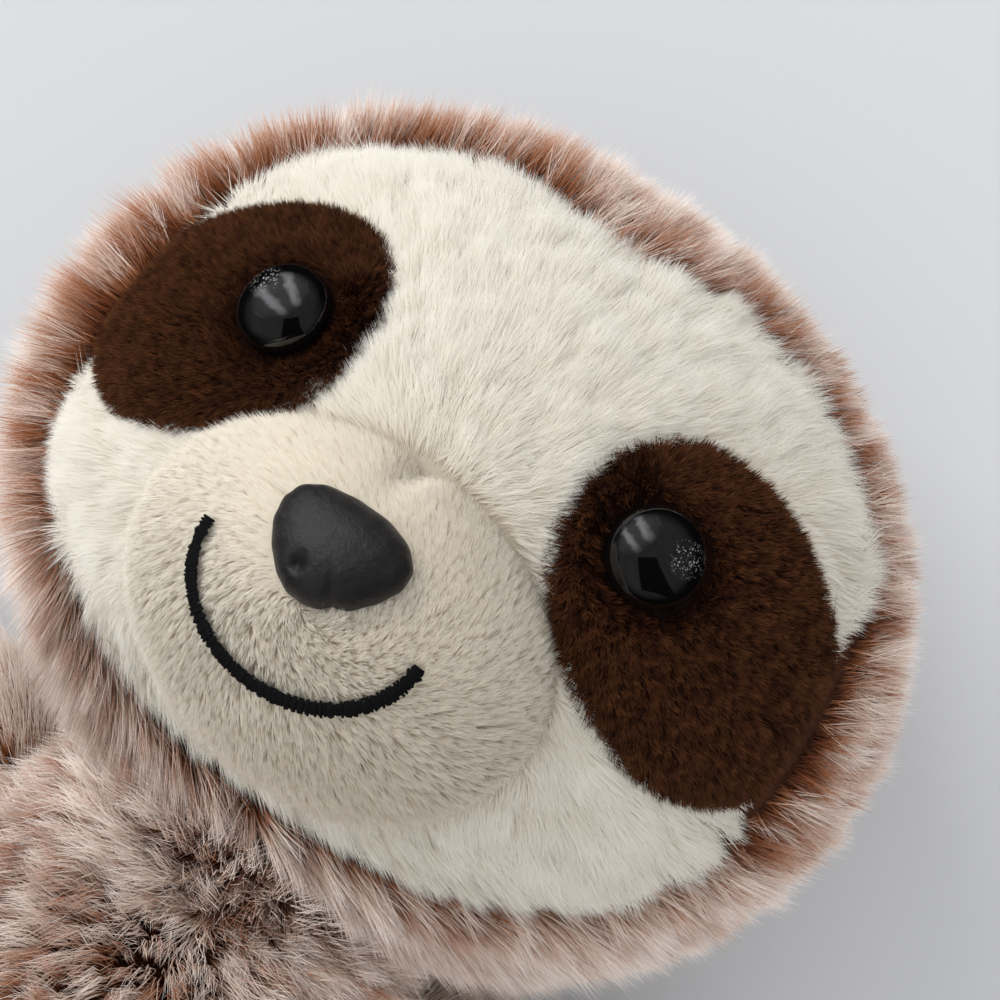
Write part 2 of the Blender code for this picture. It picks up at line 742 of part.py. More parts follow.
def make_limb(kind, hand, side, root, reach, length, radius, shares):
    """One arm or leg: upper and under cover, filling and claws, all on its own pivot."""
    hinge = pivot(f"{kind}_pivot_{hand}", root)
    route = limb_route(root, reach, length, radius)
    stations = limb_stations(route, radius, shares)
    across = (route[3] - route[0]).cross(route[3] - route[2])
    up = across if across.z > 0 else -across
    name = f"{kind}_{hand}"
    inside = cutter(f"{name}_inside", loft("inside", stations, LIMB_SIDES))
    shrink(inside, FUR_THICKNESS)
    for cover_name, normal in (("upper", up), ("under", -up)):
        cover = add(f"{name}_{cover_name}", loft("cover", stations, LIMB_SIDES), FROSTED_FUR, hinge)
        block_name = f"{name}_{cover_name}_half"
        cut(cover, seam_block(block_name, root, normal, 2 * length), "INTERSECT")
        cut(cover, inside)
        if cover_name == "under":
            cut(cover, table)
    filling = add(f"{name}_filling", loft("filling", stations, LIMB_SIDES), WHITE_FILLING, hinge)
    shrink(filling, filling_depth)

    socket_radius = radius + SOCKET_CLEARANCE
    socket = ball("socket", root, Vector([socket_radius] * 3), SOCKET_SIDES, SOCKET_SIDES // 2)
    socket_cutter = cutter(f"{name}_socket", socket)
    for piece in body_pieces:
        cut(piece, socket_cutter)

    limb_room = cutter(f"{name}_room", loft("room", stations, LIMB_SIDES))
    shrink(limb_room, -SEAM_GAP)
    end = route[3]
    heading = (route[3] - route[2]).normalized()
    sideways = heading.cross(Vector((0, 0, 1)))
    girth = radius * shares[-1]
    droop = end.z * CLAW_DROOP_SHARE
    lowest = 0
    for number, row in enumerate((-1, 0, 1), start=1):
        fan = Matrix.Rotation(-row * CLAW_FAN, 3, "Z")
        base = end + heading * (girth * (1 - CLAW_ROOT_SHARE)) + sideways * (row * CLAW_SPREAD)
        form = tube("claw", claw_stations(base, fan @ heading, droop), CLAW_RESOLUTION)
        claw = add(f"{name}_claw_{number}", form, BROWN_VELBOA, hinge)
        cut(claw, limb_room)
        lowest = min(lowest, *(vertex.co.y for vertex in form.vertices))
    return lowest


toe = 0
for hand, side in SIDES.items():
    shoulder = seam_place(SHOULDER_ANGLE, SHOULDER_PROUD, SHOULDER_DROP, side)
    make_limb("arm", hand, side, shoulder, ARM_REACH, ARM_LENGTH, ARM_RADIUS, ARM_RADIUS_SHARES)
    hip = seam_place(HIP_ANGLE, HIP_PROUD, HIP_DROP, side)
    tip = make_limb("leg", hand, side, hip, LEG_REACH, LEG_LENGTH, LEG_RADIUS, LEG_RADIUS_SHARES)
    toe = min(toe, tip)

# The toy's origin is under the middle of its length
crown = HEAD.y + HEAD_HALF_HEIGHT
toy.location.y = -(crown + toe) / 2
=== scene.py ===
import json
import math
from functools import partial

import bmesh
import bpy
import numpy as np
from mathutils import Matrix, Vector, noise
from mathutils.geometry import interpolate_bezier


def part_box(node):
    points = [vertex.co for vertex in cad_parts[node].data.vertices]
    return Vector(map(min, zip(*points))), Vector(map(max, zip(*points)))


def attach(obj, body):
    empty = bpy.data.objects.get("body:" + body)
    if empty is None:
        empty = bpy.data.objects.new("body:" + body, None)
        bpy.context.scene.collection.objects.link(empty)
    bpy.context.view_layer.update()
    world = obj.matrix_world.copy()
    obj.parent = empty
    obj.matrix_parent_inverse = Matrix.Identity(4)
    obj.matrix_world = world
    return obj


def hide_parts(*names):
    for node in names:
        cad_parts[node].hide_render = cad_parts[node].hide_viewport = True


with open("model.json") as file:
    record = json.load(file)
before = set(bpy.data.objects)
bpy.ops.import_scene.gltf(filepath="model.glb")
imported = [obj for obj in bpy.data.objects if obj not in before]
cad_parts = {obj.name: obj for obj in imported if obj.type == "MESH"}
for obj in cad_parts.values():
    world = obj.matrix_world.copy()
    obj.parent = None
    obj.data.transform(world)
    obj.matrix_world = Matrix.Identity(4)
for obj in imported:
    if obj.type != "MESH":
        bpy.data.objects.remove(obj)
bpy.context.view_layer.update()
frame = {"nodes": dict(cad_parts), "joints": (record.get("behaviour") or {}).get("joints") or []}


# Eye patches
# Two leaning ovals of short brown velboa, let into the pale face panel before the head is closed.
# Each has a small hole for an eye's shank, and its edge is turned under at the seam.

SIDES = {"left": -1, "right": 1}
HEAD_HALVES = np.array((0.067, 0.058, 0.046))
PRESS = 0.0005
HEAD = np.array((0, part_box("head_fur_left")[1].y - HEAD_HALVES[1], HEAD_HALVES[2] - PRESS))
FACE_HALVES = (0.053, 0.0415)
FACE_MIDDLE = HEAD[:2] + (0, 0.002)
FACE_POWER = 2.4
FACE_DIP = 0.005
FACE_DIP_WIDTH = 0.012
PATCH_HALVES = (0.0217, 0.0163)
PATCH_MIDDLE = (0.0353, 0.0067)
PATCH_TILT = math.radians(-36)
PATCH_POWER = 2.2
PATCH_ROWS = 26
PATCH_DEPTH = 0.0012
PATCH_EDGE = 0.0011
PATCH_EDGE_WIDTH = 0.0016
PATCH_CROWN = 0.0006
PATCH_CROWN_WIDTH = 0.008
PATCH_PILE = 0.0015
PATCH_LEAN = 0.45
PATCH_MOTTLE = 0.0016
EYE_PLACE = np.array((0.0266, 0.0098))
EYE_RADIUS = 0.0060
EYE_DIMPLE = 0.0018
EYE_DIMPLE_WIDTH = 0.0072
EYE_CLEARANCE = 1.16
SHANK_HOLE = 0.0026
OUTLINE_POINTS = 180
VELBOA_BACKING = 0.0006


def step(tree, kind, inputs=None, **settings):
    """Adds a node: its settings, then what each input takes, a value or another node's socket."""
    node = tree.nodes.new(kind)
    for setting, value in settings.items():
        setattr(node, setting, value)
    for key, value in (inputs or {}).items():
        free = [s for s in node.inputs if s.enabled]
        socket = free[key] if isinstance(key, int) else next(s for s in free if s.name == key)
        if isinstance(value, bpy.types.NodeSocket):
            tree.links.new(value, socket)
        else:
            socket.default_value = value
    return node


def tree_of(values):
    """The tree of whichever value comes out of a node."""
    return next(value.id_data for value in values if isinstance(value, bpy.types.NodeSocket))


def maths(operation, *values):
    node = step(tree_of(values), "ShaderNodeMath", dict(enumerate(values)), operation=operation)
    return node.outputs[0]


def vectors(operation, *values):
    node = step(tree_of(values), "ShaderNodeVectorMath", dict(enumerate(values)), operation=operation)
    return next(s for s in node.outputs if s.enabled)


plus, minus, times = (partial(maths, kind) for kind in ("ADD", "SUBTRACT", "MULTIPLY"))
joined, taken, scaled = (partial(vectors, kind) for kind in ("ADD", "SUBTRACT", "SCALE"))


def within(value, low, high):
    return maths("MINIMUM", maths("MAXIMUM", value, low), high)


def parts(vector):
    return step(vector.id_data, "ShaderNodeSeparateXYZ", {0: vector}).outputs


def noisy(place, scale, **more):
    """Cloudy values of chance over a place, as a node's outputs."""
    return step(place.id_data, "ShaderNodeTexNoise", {"Vector": place, "Scale": scale, **more}).outputs


def shade(red, green, blue):
    """A colour as it is seen, from 0 to 255, as the light that Blender works in."""
    shares = [share / 255 for share in (red, green, blue)]
    return (*(((share + 0.055) / 1.055) ** 2.4 if share > 0.04 else share / 12.92 for share in shares), 1)


def keep(geometry, name, kind, value, domain="POINT"):
    """Stores a value on a geometry under a name."""
    noted = {"Geometry": geometry, "Name": name, "Value": value}
    return step(geometry.id_data, "GeometryNodeStoreNamedAttribute", noted,
                data_type=kind, domain=domain).outputs["Geometry"]


def read(tree, name, kind="FLOAT"):
    node = step(tree, "GeometryNodeInputNamedAttribute", {"Name": name}, data_type=kind)
    return node.outputs["Attribute"]


def changed(kind, geometry, inputs=None, **settings):
    """A geometry after one more step."""
    inputs = {0: geometry, **(inputs or {})}
    return step(geometry.id_data, f"GeometryNode{kind}", inputs, **settings).outputs[0]


def begin_tree(name, inputs):
    """A new geometry tree with named inputs, and what they give."""
    tree = bpy.data.node_groups.new(name, "GeometryNodeTree")
    tree.interface.new_socket("Geometry", in_out="OUTPUT", socket_type="NodeSocketGeometry")
    for title, kind in inputs.items():
        tree.interface.new_socket(title, in_out="INPUT", socket_type=kind)
    return tree, step(tree, "NodeGroupInput").outputs


def end_tree(geometry, finish):
    """Ends a geometry tree with real, smooth faces and their material."""
    geometry = changed("RealizeInstances", geometry)
    geometry = changed("SetShadeSmooth", geometry)
    geometry = changed("SetMaterial", geometry, finish)
    tree = geometry.id_data
    tree.links.new(geometry, step(tree, "NodeGroupOutput").inputs[0])
    return tree


PILE_INPUTS = {"Geometry": "NodeSocketGeometry", "Material": "NodeSocketMaterial"}
PILE_INPUTS |= dict.fromkeys(("Segments", "Seed"), "NodeSocketInt")
PILE_INPUTS |= dict.fromkeys((
    "Density", "Width", "Clump Size", "Clump Pull", "Clump Turn", "Strand Size", "Strand Pull", "Stray",
    "Lift Spread", "Length Spread", "Wave", "Tone Spread", "Softness",
), "NodeSocketFloat")
TABLE_TOP = 0.0002
RIBBON_TWIST = math.radians(50)
THIN_RIBBON = 0.3
THICK_RIBBON = 0.65
LENGTH_CHANCE = 0.6
TONE_SHARES = (0.5, 0.2, 0.3)
WAVES = 2.2
GRAIN_SCALE = 900.0


def make_pile_tree():
    """Grows a pile on a combed cloth: clumped, leaning ribbons that taper from root to tip.

    The cloth's own attributes say how each place is combed: comb, lean, pile_length, cover and tint.
    """
    tree, given = begin_tree("pile", PILE_INPUTS)

    def chance(low, high, salt):
        values = {"Min": low, "Max": high, "Seed": plus(given["Seed"], salt)}
        return step(tree, "FunctionNodeRandomValue", values, data_type="FLOAT").outputs["Value"]

    def flat_on(vector, up):
        """The part of a vector that lies in the cloth."""
        return taken(vector, scaled(up, vectors("DOT_PRODUCT", vector, up)))

    def gather(root, up, size):
        """The way to the middle of the clump round a place, and the clump's own values of chance."""
        cell = step(tree, "ShaderNodeTexVoronoi", {"Vector": root, "Scale": maths("DIVIDE", 1.0, size)})
        return flat_on(taken(cell.outputs["Position"], root), up), parts(cell.outputs["Color"])

    material_index = step(tree, "GeometryNodeInputMaterialIndex").outputs[0]
    outside = step(tree, "FunctionNodeCompare", {"A": material_index, "B": 0},
                   data_type="INT", operation="EQUAL").outputs["Result"]
    roots = step(tree, "GeometryNodeDistributePointsOnFaces", {
        "Mesh": given["Geometry"], "Selection": outside, "Seed": given["Seed"],
        "Density": times(given["Density"], read(tree, "cover")),
    }).outputs
    place = step(tree, "GeometryNodeInputPosition").outputs["Position"]
    up = roots["Normal"]
    clump_way, clump_chance = gather(place, up, given["Clump Size"])
    strand_way, strand_chance = gather(place, up, given["Strand Size"])

    turn = times(given["Clump Turn"], minus(clump_chance[0], 0.5))
    stray = times(given["Stray"], chance(-1.0, 1.0, 1))
    combed = vectors("NORMALIZE", flat_on(read(tree, "comb", "FLOAT_VECTOR"), up))
    turning = {"Vector": combed, "Axis": up, "Angle": plus(turn, stray)}
    flow = step(tree, "ShaderNodeVectorRotate", turning, rotation_type="AXIS_ANGLE").outputs["Vector"]
    lift_chance = minus(plus(clump_chance[1], chance(-0.5, 0.5, 2)), 0.5)
    lean = within(plus(read(tree, "lean"), times(given["Lift Spread"], lift_chance)), 0.02, 0.99)
    stand = maths("SQRT", minus(1.0, times(lean, lean)))
    length_chance = plus(minus(clump_chance[0], 0.5), chance(-LENGTH_CHANCE, LENGTH_CHANCE, 3))
    length = times(read(tree, "pile_length"), plus(times(given["Length Spread"], length_chance), 1.0))

    twist = chance(-RIBBON_TWIST, RIBBON_TWIST, 4)
    across = vectors("CROSS_PRODUCT", flow, up)
    edge = joined(scaled(across, maths("COSINE", twist)), scaled(up, maths("SINE", twist)))
    half_width = times(given["Width"], chance(THIN_RIBBON, THICK_RIBBON, 5))
    pull = joined(scaled(clump_way, given["Clump Pull"]), scaled(strand_way, given["Strand Pull"]))
    tones = (clump_chance[2], strand_chance[2], chance(0.0, 1.0, 6))
    clump_tone, strand_tone, own_tone = (times(tone, share) for tone, share in zip(tones, TONE_SHARES))
    mixed_tone = minus(plus(plus(clump_tone, strand_tone), own_tone), 0.5)
    tone = within(plus(times(given["Tone Spread"], mixed_tone), read(tree, "tint")), 0.02, 0.98)
    sway = times(times(length, given["Wave"]), chance(-1.0, 1.0, 7))

    points = roots["Points"]
    for name, value in (
        ("root", place), ("out", up), ("pull", pull), ("edge", scaled(edge, half_width)),
        ("rise", scaled(up, times(length, stand))), ("run", scaled(flow, times(length, lean))),
        ("sway", scaled(across, sway)),
    ):
        points = keep(points, name, "FLOAT_VECTOR", value)
    points = keep(points, "tone", "FLOAT", tone)
    points = keep(points, "phase", "FLOAT", chance(0.0, math.tau, 8))

    strip = step(tree, "GeometryNodeMeshGrid", {
        "Size X": 2.0, "Size Y": 1.0, "Vertices X": 2, "Vertices Y": plus(given["Segments"], 1),
    }).outputs["Mesh"]
    on_strip = parts(step(tree, "GeometryNodeInputPosition").outputs[0])
    strip = keep(strip, "along", "FLOAT", plus(on_strip[1], 0.5))
    strip = keep(strip, "side", "FLOAT", on_strip[0])
    at_tip = maths("GREATER_THAN", on_strip[1], 0.499)
    strip = changed("MergeByDistance", strip, {"Selection": at_tip, "Distance": 3.0})
    planted = changed("RealizeInstances", changed("InstanceOnPoints", points, {"Instance": strip}))

    along = read(tree, "along")
    squared = times(along, along)
    narrow = times(read(tree, "side"), minus(1.0, squared))
    swing = maths("SINE", plus(times(along, WAVES), read(tree, "phase")))
    bent = read(tree, "root", "FLOAT_VECTOR")
    for name, amount in (
        ("rise", minus(times(along, 2.0), squared)),
        ("run", plus(times(along, 0.3), times(squared, 0.7))),
        ("pull", squared), ("edge", narrow), ("sway", times(swing, along)),
    ):
        bent = joined(bent, scaled(read(tree, name, "FLOAT_VECTOR"), amount))
    bent = vectors("MAXIMUM", bent, (-1.0, -1.0, TABLE_TOP))
    planted = changed("SetPosition", planted, {"Position": bent})
    facing = step(tree, "GeometryNodeInputNormal").outputs["Normal"]
    soft_facing = vectors("NORMALIZE", joined(
        scaled(facing, minus(1.0, given["Softness"])),
        scaled(read(tree, "out", "FLOAT_VECTOR"), given["Softness"]),
    ))
    free = {"mode": "FREE", "domain": "POINT"}
    planted = changed("SetMeshNormal", planted, {"Custom Normal": soft_facing}, **free)
    planted = changed("SetMaterial", planted, {"Material": given["Material"]})
    cloth = changed("SetMeshNormal", given["Geometry"], {"Custom Normal": facing}, **free)
    grain = noisy(step(tree, "GeometryNodeInputPosition").outputs[0], GRAIN_SCALE)
    pile_place = step(tree, "ShaderNodeCombineXYZ",
                      {"X": along, "Y": plus(read(tree, "tone"), times(narrow, 0.004))}).outputs[0]
    cloth_place = step(tree, "ShaderNodeCombineXYZ",
                       {"X": times(grain["Fac"], 0.03), "Y": parts(grain["Color"])[1]}).outputs[0]
    for name in ("pile", "OFBake"):
        planted = keep(planted, name, "FLOAT2", pile_place, "CORNER")
        cloth = keep(cloth, name, "FLOAT2", cloth_place, "CORNER")
    both = step(tree, "GeometryNodeJoinGeometry")
    tree.links.new(planted, both.inputs[0])
    tree.links.new(cloth, both.inputs[0])
    return end_tree(both.outputs[0], {"Selection": outside, "Material": given["Material"]})


pile_tree = make_pile_tree()
GROWTH_NOTES = (
    "root", "rise", "run", "pull", "edge", "sway", "out", "tone", "phase", "along", "side",
    "comb", "lean", "pile_length", "cover", "tint",
)
FIBRE_SPECULAR = 0.15


def cloth_mesh(name, rows, inside, wraps=False, cut_away=None):
    """A sheet over rows of points that faces away from a place, less the faces that are cut away.

    Gives the mesh and the places of its points.
    """
    count, wide = rows.shape[:2]
    places = rows.reshape(-1, 3)
    index = np.arange(count * wide).reshape(count, wide)
    if wraps:
        index = np.concatenate([index, index[:, :1]], 1)
    faces = np.stack([index[:-1, :-1], index[:-1, 1:], index[1:, 1:], index[1:, :-1]], -1).reshape(-1, 4)
    if cut_away is not None:
        faces = faces[~cut_away(places)[faces].all(1)]
    mesh = bpy.data.meshes.new(name)
    mesh.from_pydata(places.tolist(), [], faces.tolist())
    bm = bmesh.new()
    bm.from_mesh(mesh)
    bmesh.ops.remove_doubles(bm, verts=bm.verts, dist=1e-6)
    bmesh.ops.delete(bm, geom=[v for v in bm.verts if not v.link_faces], context="VERTS")
    bm.normal_update()
    middle = Vector(inside)
    outward = sum((f.calc_center_median() - middle).dot(f.normal) * f.calc_area() for f in bm.faces)
    if outward < 0:
        bmesh.ops.reverse_faces(bm, faces=bm.faces)
    bm.to_mesh(mesh)
    bm.free()
    mesh.shade_smooth()
    found = np.empty(len(mesh.vertices) * 3, np.float32)
    mesh.vertices.foreach_get("co", found)
    return mesh, found.reshape(-1, 3).astype(float)


def move_places(mesh, places):
    places = places.copy()
    places[:, 2] = np.maximum(places[:, 2], TABLE_TOP)
    mesh.vertices.foreach_set("co", places.astype(np.float32).ravel())
    mesh.update()


def comb_cloth(mesh, comb, lean, length, cover, tint=0.5):
    """Says how a cloth is combed at each of its points, and how pale its pile is there."""
    attribute = mesh.attributes.new("comb", "FLOAT_VECTOR", "POINT")
    attribute.data.foreach_set("vector", np.asarray(comb, np.float32).ravel())
    for name, values in (("lean", lean), ("pile_length", length), ("cover", cover), ("tint", tint)):
        attribute = mesh.attributes.new(name, "FLOAT", "POINT")
        values = np.broadcast_to(np.asarray(values, np.float32), len(mesh.vertices))
        attribute.data.foreach_set("value", values.copy())


def new_object(name, data, *finishes):
    """Adds an object at the origin, with its materials."""
    for finish in finishes:
        data.materials.append(finish)
    made = bpy.data.objects.new(name, data)
    bpy.context.scene.collection.objects.link(made)
    return made


def run_nodes(piece, tree, settings):
    """Runs a piece through a node tree, after its other modifiers, and keeps the mesh that comes out."""
    nodes = piece.modifiers.new(tree.name, "NODES")
    nodes.node_group = tree
    for socket in tree.interface.items_tree:
        if socket.in_out == "INPUT" and socket.name in settings:
            nodes[socket.identifier] = settings[socket.name]
    graph = bpy.context.evaluated_depsgraph_get()
    mesh = bpy.data.meshes.new_from_object(piece.evaluated_get(graph))
    piece.modifiers.clear()
    piece.data = mesh
    mesh.name = piece.name
    return mesh


def grow(name, node, body, mesh, backing, thickness, pile):
    """Makes one sewn panel: its cloth with a backing, and the pile that grows on it."""
    piece = new_object(name, mesh, pile["Material"], backing)
    shell = piece.modifiers.new("backing", "SOLIDIFY")
    shell.thickness = thickness
    shell.offset = -1
    shell.material_offset = 1
    shell.material_offset_rim = 1
    mesh = run_nodes(piece, pile_tree, pile)
    for note in GROWTH_NOTES:
        if note in mesh.attributes:
            mesh.attributes.remove(mesh.attributes[note])
    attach(piece, body)
    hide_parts(node)
    return piece


def object_place(material):
    """Where on its object each point of a material is."""
    return step(material.node_tree, "ShaderNodeTexCoord").outputs["Object"]


def set_input(material, name, value):
    tree = material.node_tree
    tree.links.new(value, tree.nodes["Principled BSDF"].inputs[name])


def two_shades(material, share, dark, pale):
    """Colours a material from a dark to a pale shade by a share that differs from place to place."""
    mixed = step(material.node_tree, "ShaderNodeMix",
                 {"Factor": share, "A": shade(*dark), "B": shade(*pale)}, data_type="RGBA")
    set_input(material, "Base Color", mixed.outputs[2])


def plain_material(name, colour, roughness, specular=0.5):
    material = bpy.data.materials.new(name)
    material.use_nodes = True
    shader = material.node_tree.nodes["Principled BSDF"]
    shader.inputs["Base Color"].default_value = shade(*colour)
    shader.inputs["Roughness"].default_value = roughness
    shader.inputs["Specular IOR Level"].default_value = specular
    return material


def pile_material(name, dark_stops, pale_stops, roughness, through):
    """Fibres coloured from root to tip, each between a dark and a pale kind. Some light gets through."""
    material = bpy.data.materials.new(name)
    material.use_nodes = True
    tree = material.node_tree
    tree.nodes.clear()
    place = parts(step(tree, "ShaderNodeUVMap", uv_map="pile").outputs["UV"])
    kinds = []
    for stops in (dark_stops, pale_stops):
        ramp = step(tree, "ShaderNodeValToRGB", {"Fac": place[0]})
        elements = ramp.color_ramp.elements
        while len(elements) < len(stops):
            elements.new(0.5)
        for element, (position, colour) in zip(elements, stops):
            element.position = position
            element.color = shade(*colour)
        kinds.append(ramp.outputs["Color"])
    colour = step(tree, "ShaderNodeMix", {"Factor": place[1], "A": kinds[0], "B": kinds[1]},
                  data_type="RGBA").outputs[2]
    cloth = step(tree, "ShaderNodeBsdfPrincipled",
                 {"Base Color": colour, "Roughness": roughness, "Specular IOR Level": FIBRE_SPECULAR})
    glow = step(tree, "ShaderNodeBsdfTranslucent", {"Color": colour})
    both = step(tree, "ShaderNodeMixShader", {0: through, 1: cloth.outputs[0], 2: glow.outputs[0]})
    step(tree, "ShaderNodeOutputMaterial", {"Surface": both.outputs[0]})
    return material


def backing_material(name, colour):
    """The plain knitted back of a pile cloth."""
    material = plain_material(name, colour, 0.95)
    knit = step(material.node_tree, "ShaderNodeTexWave",
                {"Vector": object_place(material), "Scale": 260.0, "Distortion": 2.0})
    two_shades(material, knit.outputs["Fac"], [share * 0.86 for share in colour], colour)
    return material


def near(distance, width):
    """1 at no distance, and fading smoothly to nothing beyond the width."""
    return np.exp(-((distance / width) ** 2))


def normed(ways):
    """The same directions, each one long."""
    return ways / np.linalg.norm(ways, axis=-1, keepdims=True)


def outward_of(places, middle, halves):
    """The outward direction of an egg's surface at places on it or near it."""
    return normed((places - middle) / np.asarray(halves) ** 2)


def sink(mesh, places, middle, halves, depth):
    """Moves the points of a cloth straight in from an egg's surface."""
    move_places(mesh, places - outward_of(places, middle, halves) * depth[:, None])


def head_front(across, depth):
    """Points of the front of the head over places in X and Y, that deep under its outside."""
    halves = HEAD_HALVES - depth
    share = (((across - HEAD[:2]) / halves[:2]) ** 2).sum(-1)
    height = HEAD[2] + halves[2] * np.sqrt(np.clip(1 - share, 0, None))
    return np.concatenate([across, height[..., None]], -1)


def oval(middle, halves, tilt, power):
    """The outline of a leaning rounded oval."""
    angle = np.linspace(0, math.tau, OUTLINE_POINTS, endpoint=False)
    c, s = np.cos(angle), np.sin(angle)
    long = halves[0] * np.sign(c) * np.abs(c) ** (2 / power)
    wide = halves[1] * np.sign(s) * np.abs(s) ** (2 / power)
    x = long * math.cos(tilt) - wide * math.sin(tilt)
    y = long * math.sin(tilt) + wide * math.cos(tilt)
    return np.stack([x, y], -1) + middle


def face_level(across):
    """Under 1 inside the face panel's outline, and over 1 outside it."""
    x, y = (across - FACE_MIDDLE).T
    y = np.where(y > 0, y + FACE_DIP * near(x, FACE_DIP_WIDTH), y)
    return np.abs(x / FACE_HALVES[0]) ** FACE_POWER + np.abs(y / FACE_HALVES[1]) ** FACE_POWER


def cut_at(level, start, ends):
    """Where each line from a start to its end leaves an outline, or its end where it doesn't."""
    low, high = np.zeros(len(ends)), np.ones(len(ends))
    for _ in range(18):
        share = (low + high) / 2
        held = level(start + (ends - start) * share[:, None]) < 1
        low, high = np.where(held, share, low), np.where(held, high, share)
    return start + (ends - start) * high[:, None]


def patch_outline(side):
    """A patch's outline, kept inside the face panel's."""
    outline = oval(HEAD[:2] + PATCH_MIDDLE, PATCH_HALVES, PATCH_TILT, PATCH_POWER)
    return cut_at(face_level, HEAD[:2] + EYE_PLACE, outline) * (side, 1)


def away_from(places, outline):
    """How far each place is from an outline, across and along alone."""
    return np.linalg.norm(places[:, None, :2] - outline[None], axis=-1).min(1)


def wander(places, size, seed):
    """A smooth value of chance at each place, from about -1 to 1."""
    shift = Vector((seed, -seed, seed / 3))
    return np.array([noise.noise(Vector(place) / size + shift) for place in places])


brown_velboa = pile_material(
    "brown_velboa",
    dark_stops=((0.0, (30, 13, 6)), (0.5, (48, 24, 12)), (1.0, (66, 36, 19))),
    pale_stops=((0.0, (40, 19, 9)), (0.5, (80, 45, 24)), (1.0, (124, 78, 46))),
    roughness=0.8, through=0.3,
)
brown_backing = backing_material("brown_backing", (70, 45, 32))
VELBOA = {
    "Material": brown_velboa, "Density": 42e6, "Width": 0.00018, "Segments": 1, "Clump Size": 0.0007,
    "Clump Pull": 0.3, "Clump Turn": 2.0, "Strand Size": 0.00035, "Strand Pull": 0.4, "Stray": 0.8,
    "Lift Spread": 0.35, "Length Spread": 0.45, "Wave": 0.1, "Tone Spread": 1.6, "Softness": 0.3,
    "Seed": 3,
}

for hand, side in SIDES.items():
    outline = patch_outline(side)
    eye_at = (HEAD[:2] + EYE_PLACE) * (side, 1)
    start = eye_at + normed(outline - eye_at) * SHANK_HOLE
    share = np.linspace(0, 1, PATCH_ROWS)[:, None, None]
    rows = head_front(start + (outline - start) * share, PATCH_DEPTH)
    mesh, places = cloth_mesh(f"patch_{hand}", rows, HEAD, wraps=True)
    from_edge = away_from(places, outline)
    from_eye = np.linalg.norm(places[:, :2] - eye_at, axis=1)
    sunk = PATCH_EDGE * near(from_edge, PATCH_EDGE_WIDTH)
    sunk += EYE_DIMPLE * near((from_eye / EYE_DIMPLE_WIDTH) ** 3, 1)
    sunk -= PATCH_CROWN * np.clip(from_edge / PATCH_CROWN_WIDTH, 0, 1)
    sink(mesh, places, HEAD, HEAD_HALVES, sunk)
    away = places - np.append(eye_at, places[:, 2].mean())
    away[:, 2] = 0
    comb = normed(away) + (side * 0.5, -0.8, 0)
    tint = 0.5 + 0.35 * wander(places, PATCH_MOTTLE, 4)
    comb_cloth(mesh, comb, PATCH_LEAN, PATCH_PILE, from_eye > EYE_RADIUS * EYE_CLEARANCE, tint)
    grow(f"eye_patch_{hand}_velboa", f"eye_patch_{hand}", "head", mesh,
         brown_backing, VELBOA_BACKING, VELBOA)


# Safety eyes
# Glossy black domes with a shank that goes through the patch. A white washer, pushed onto the
# shank behind the cloth, locks each one.

EYE_HEIGHT = 0.0046
EYE_CAP = 0.0058
EYE_CAP_RISE = 0.0034
EYE_RIM = 0.0010
EYE_RIM_SHARE = 0.97
EYE_SEAT = 0.0008
EYE_SHANK_RADIUS = 0.0023
EYE_SHANK_LENGTH = 0.0150
EYE_STEPS = 128
EYE_BLACK = (6, 6, 7)
EYE_ROUGHNESS = 0.07
DUST_GREY = (150, 148, 145)
DUST_OFFSET = np.array((0.0029, 0.0014))
DUST_SPREAD = 0.0024


def turned_mesh(name, profile, place, outward):
    """Spins a chain of (radius, height) points about the outward direction at a place."""
    bm = bmesh.new()
    corners = [bm.verts.new((radius, 0, height)) for radius, height in profile]
    links = [bm.edges.new(pair) for pair in zip(corners, corners[1:])]
    bmesh.ops.spin(bm, geom=corners + links, axis=(0, 0, 1), cent=(0, 0, 0),
                   angle=math.tau, steps=EYE_STEPS)
    bmesh.ops.remove_doubles(bm, verts=bm.verts, dist=1e-7)
    bmesh.ops.recalc_face_normals(bm, faces=bm.faces)
    turn = Vector(outward).to_track_quat("Z", "Y").to_matrix().to_4x4()
    bmesh.ops.transform(bm, matrix=Matrix.Translation(Vector(place)) @ turn, verts=bm.verts)
    mesh = bpy.data.meshes.new(name)
    bm.to_mesh(mesh)
    bm.free()
    mesh.shade_smooth()
    mesh.set_sharp_from_angle(angle=math.radians(40))
    return mesh


def shape_piece(name, mesh, finish, node, body):
    """Adds a piece that has no pile, in place of its node."""
    mesh.materials.clear()
    piece = new_object(name, mesh, finish)
    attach(piece, body)
    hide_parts(node)
    return piece


def ranged(value, low, high, start=0.0, end=1.0):
    """Carries a value's range over to another, and holds it there."""
    limits = {0: value, 1: low, 2: high, 3: start, 4: end}
    return step(value.id_data, "ShaderNodeMapRange", limits).outputs[0]


black_plastic = plain_material("black_plastic", EYE_BLACK, EYE_ROUGHNESS)
place = object_place(black_plastic)
beside = vectors("MULTIPLY", vectors("ABSOLUTE", place), (1.0, 1.0, 0.0))
from_dust = vectors("DISTANCE", beside, (*(HEAD[:2] + EYE_PLACE + DUST_OFFSET), 0.0))
clusters = noisy(place, 1500.0, Detail=2.0)["Fac"]
region = times(ranged(from_dust, DUST_SPREAD, DUST_SPREAD / 3), ranged(clusters, 0.42, 0.56))
speck = step(black_plastic.node_tree, "ShaderNodeTexVoronoi", {"Vector": place, "Scale": 3800.0})
dust = times(region, ranged(speck.outputs["Distance"], 0.45, 0.25))
two_shades(black_plastic, dust, EYE_BLACK, DUST_GREY)
set_input(black_plastic, "Roughness", plus(times(dust, 0.5), EYE_ROUGHNESS))
white_plastic = plain_material("white_plastic", (228, 228, 225), 0.35)

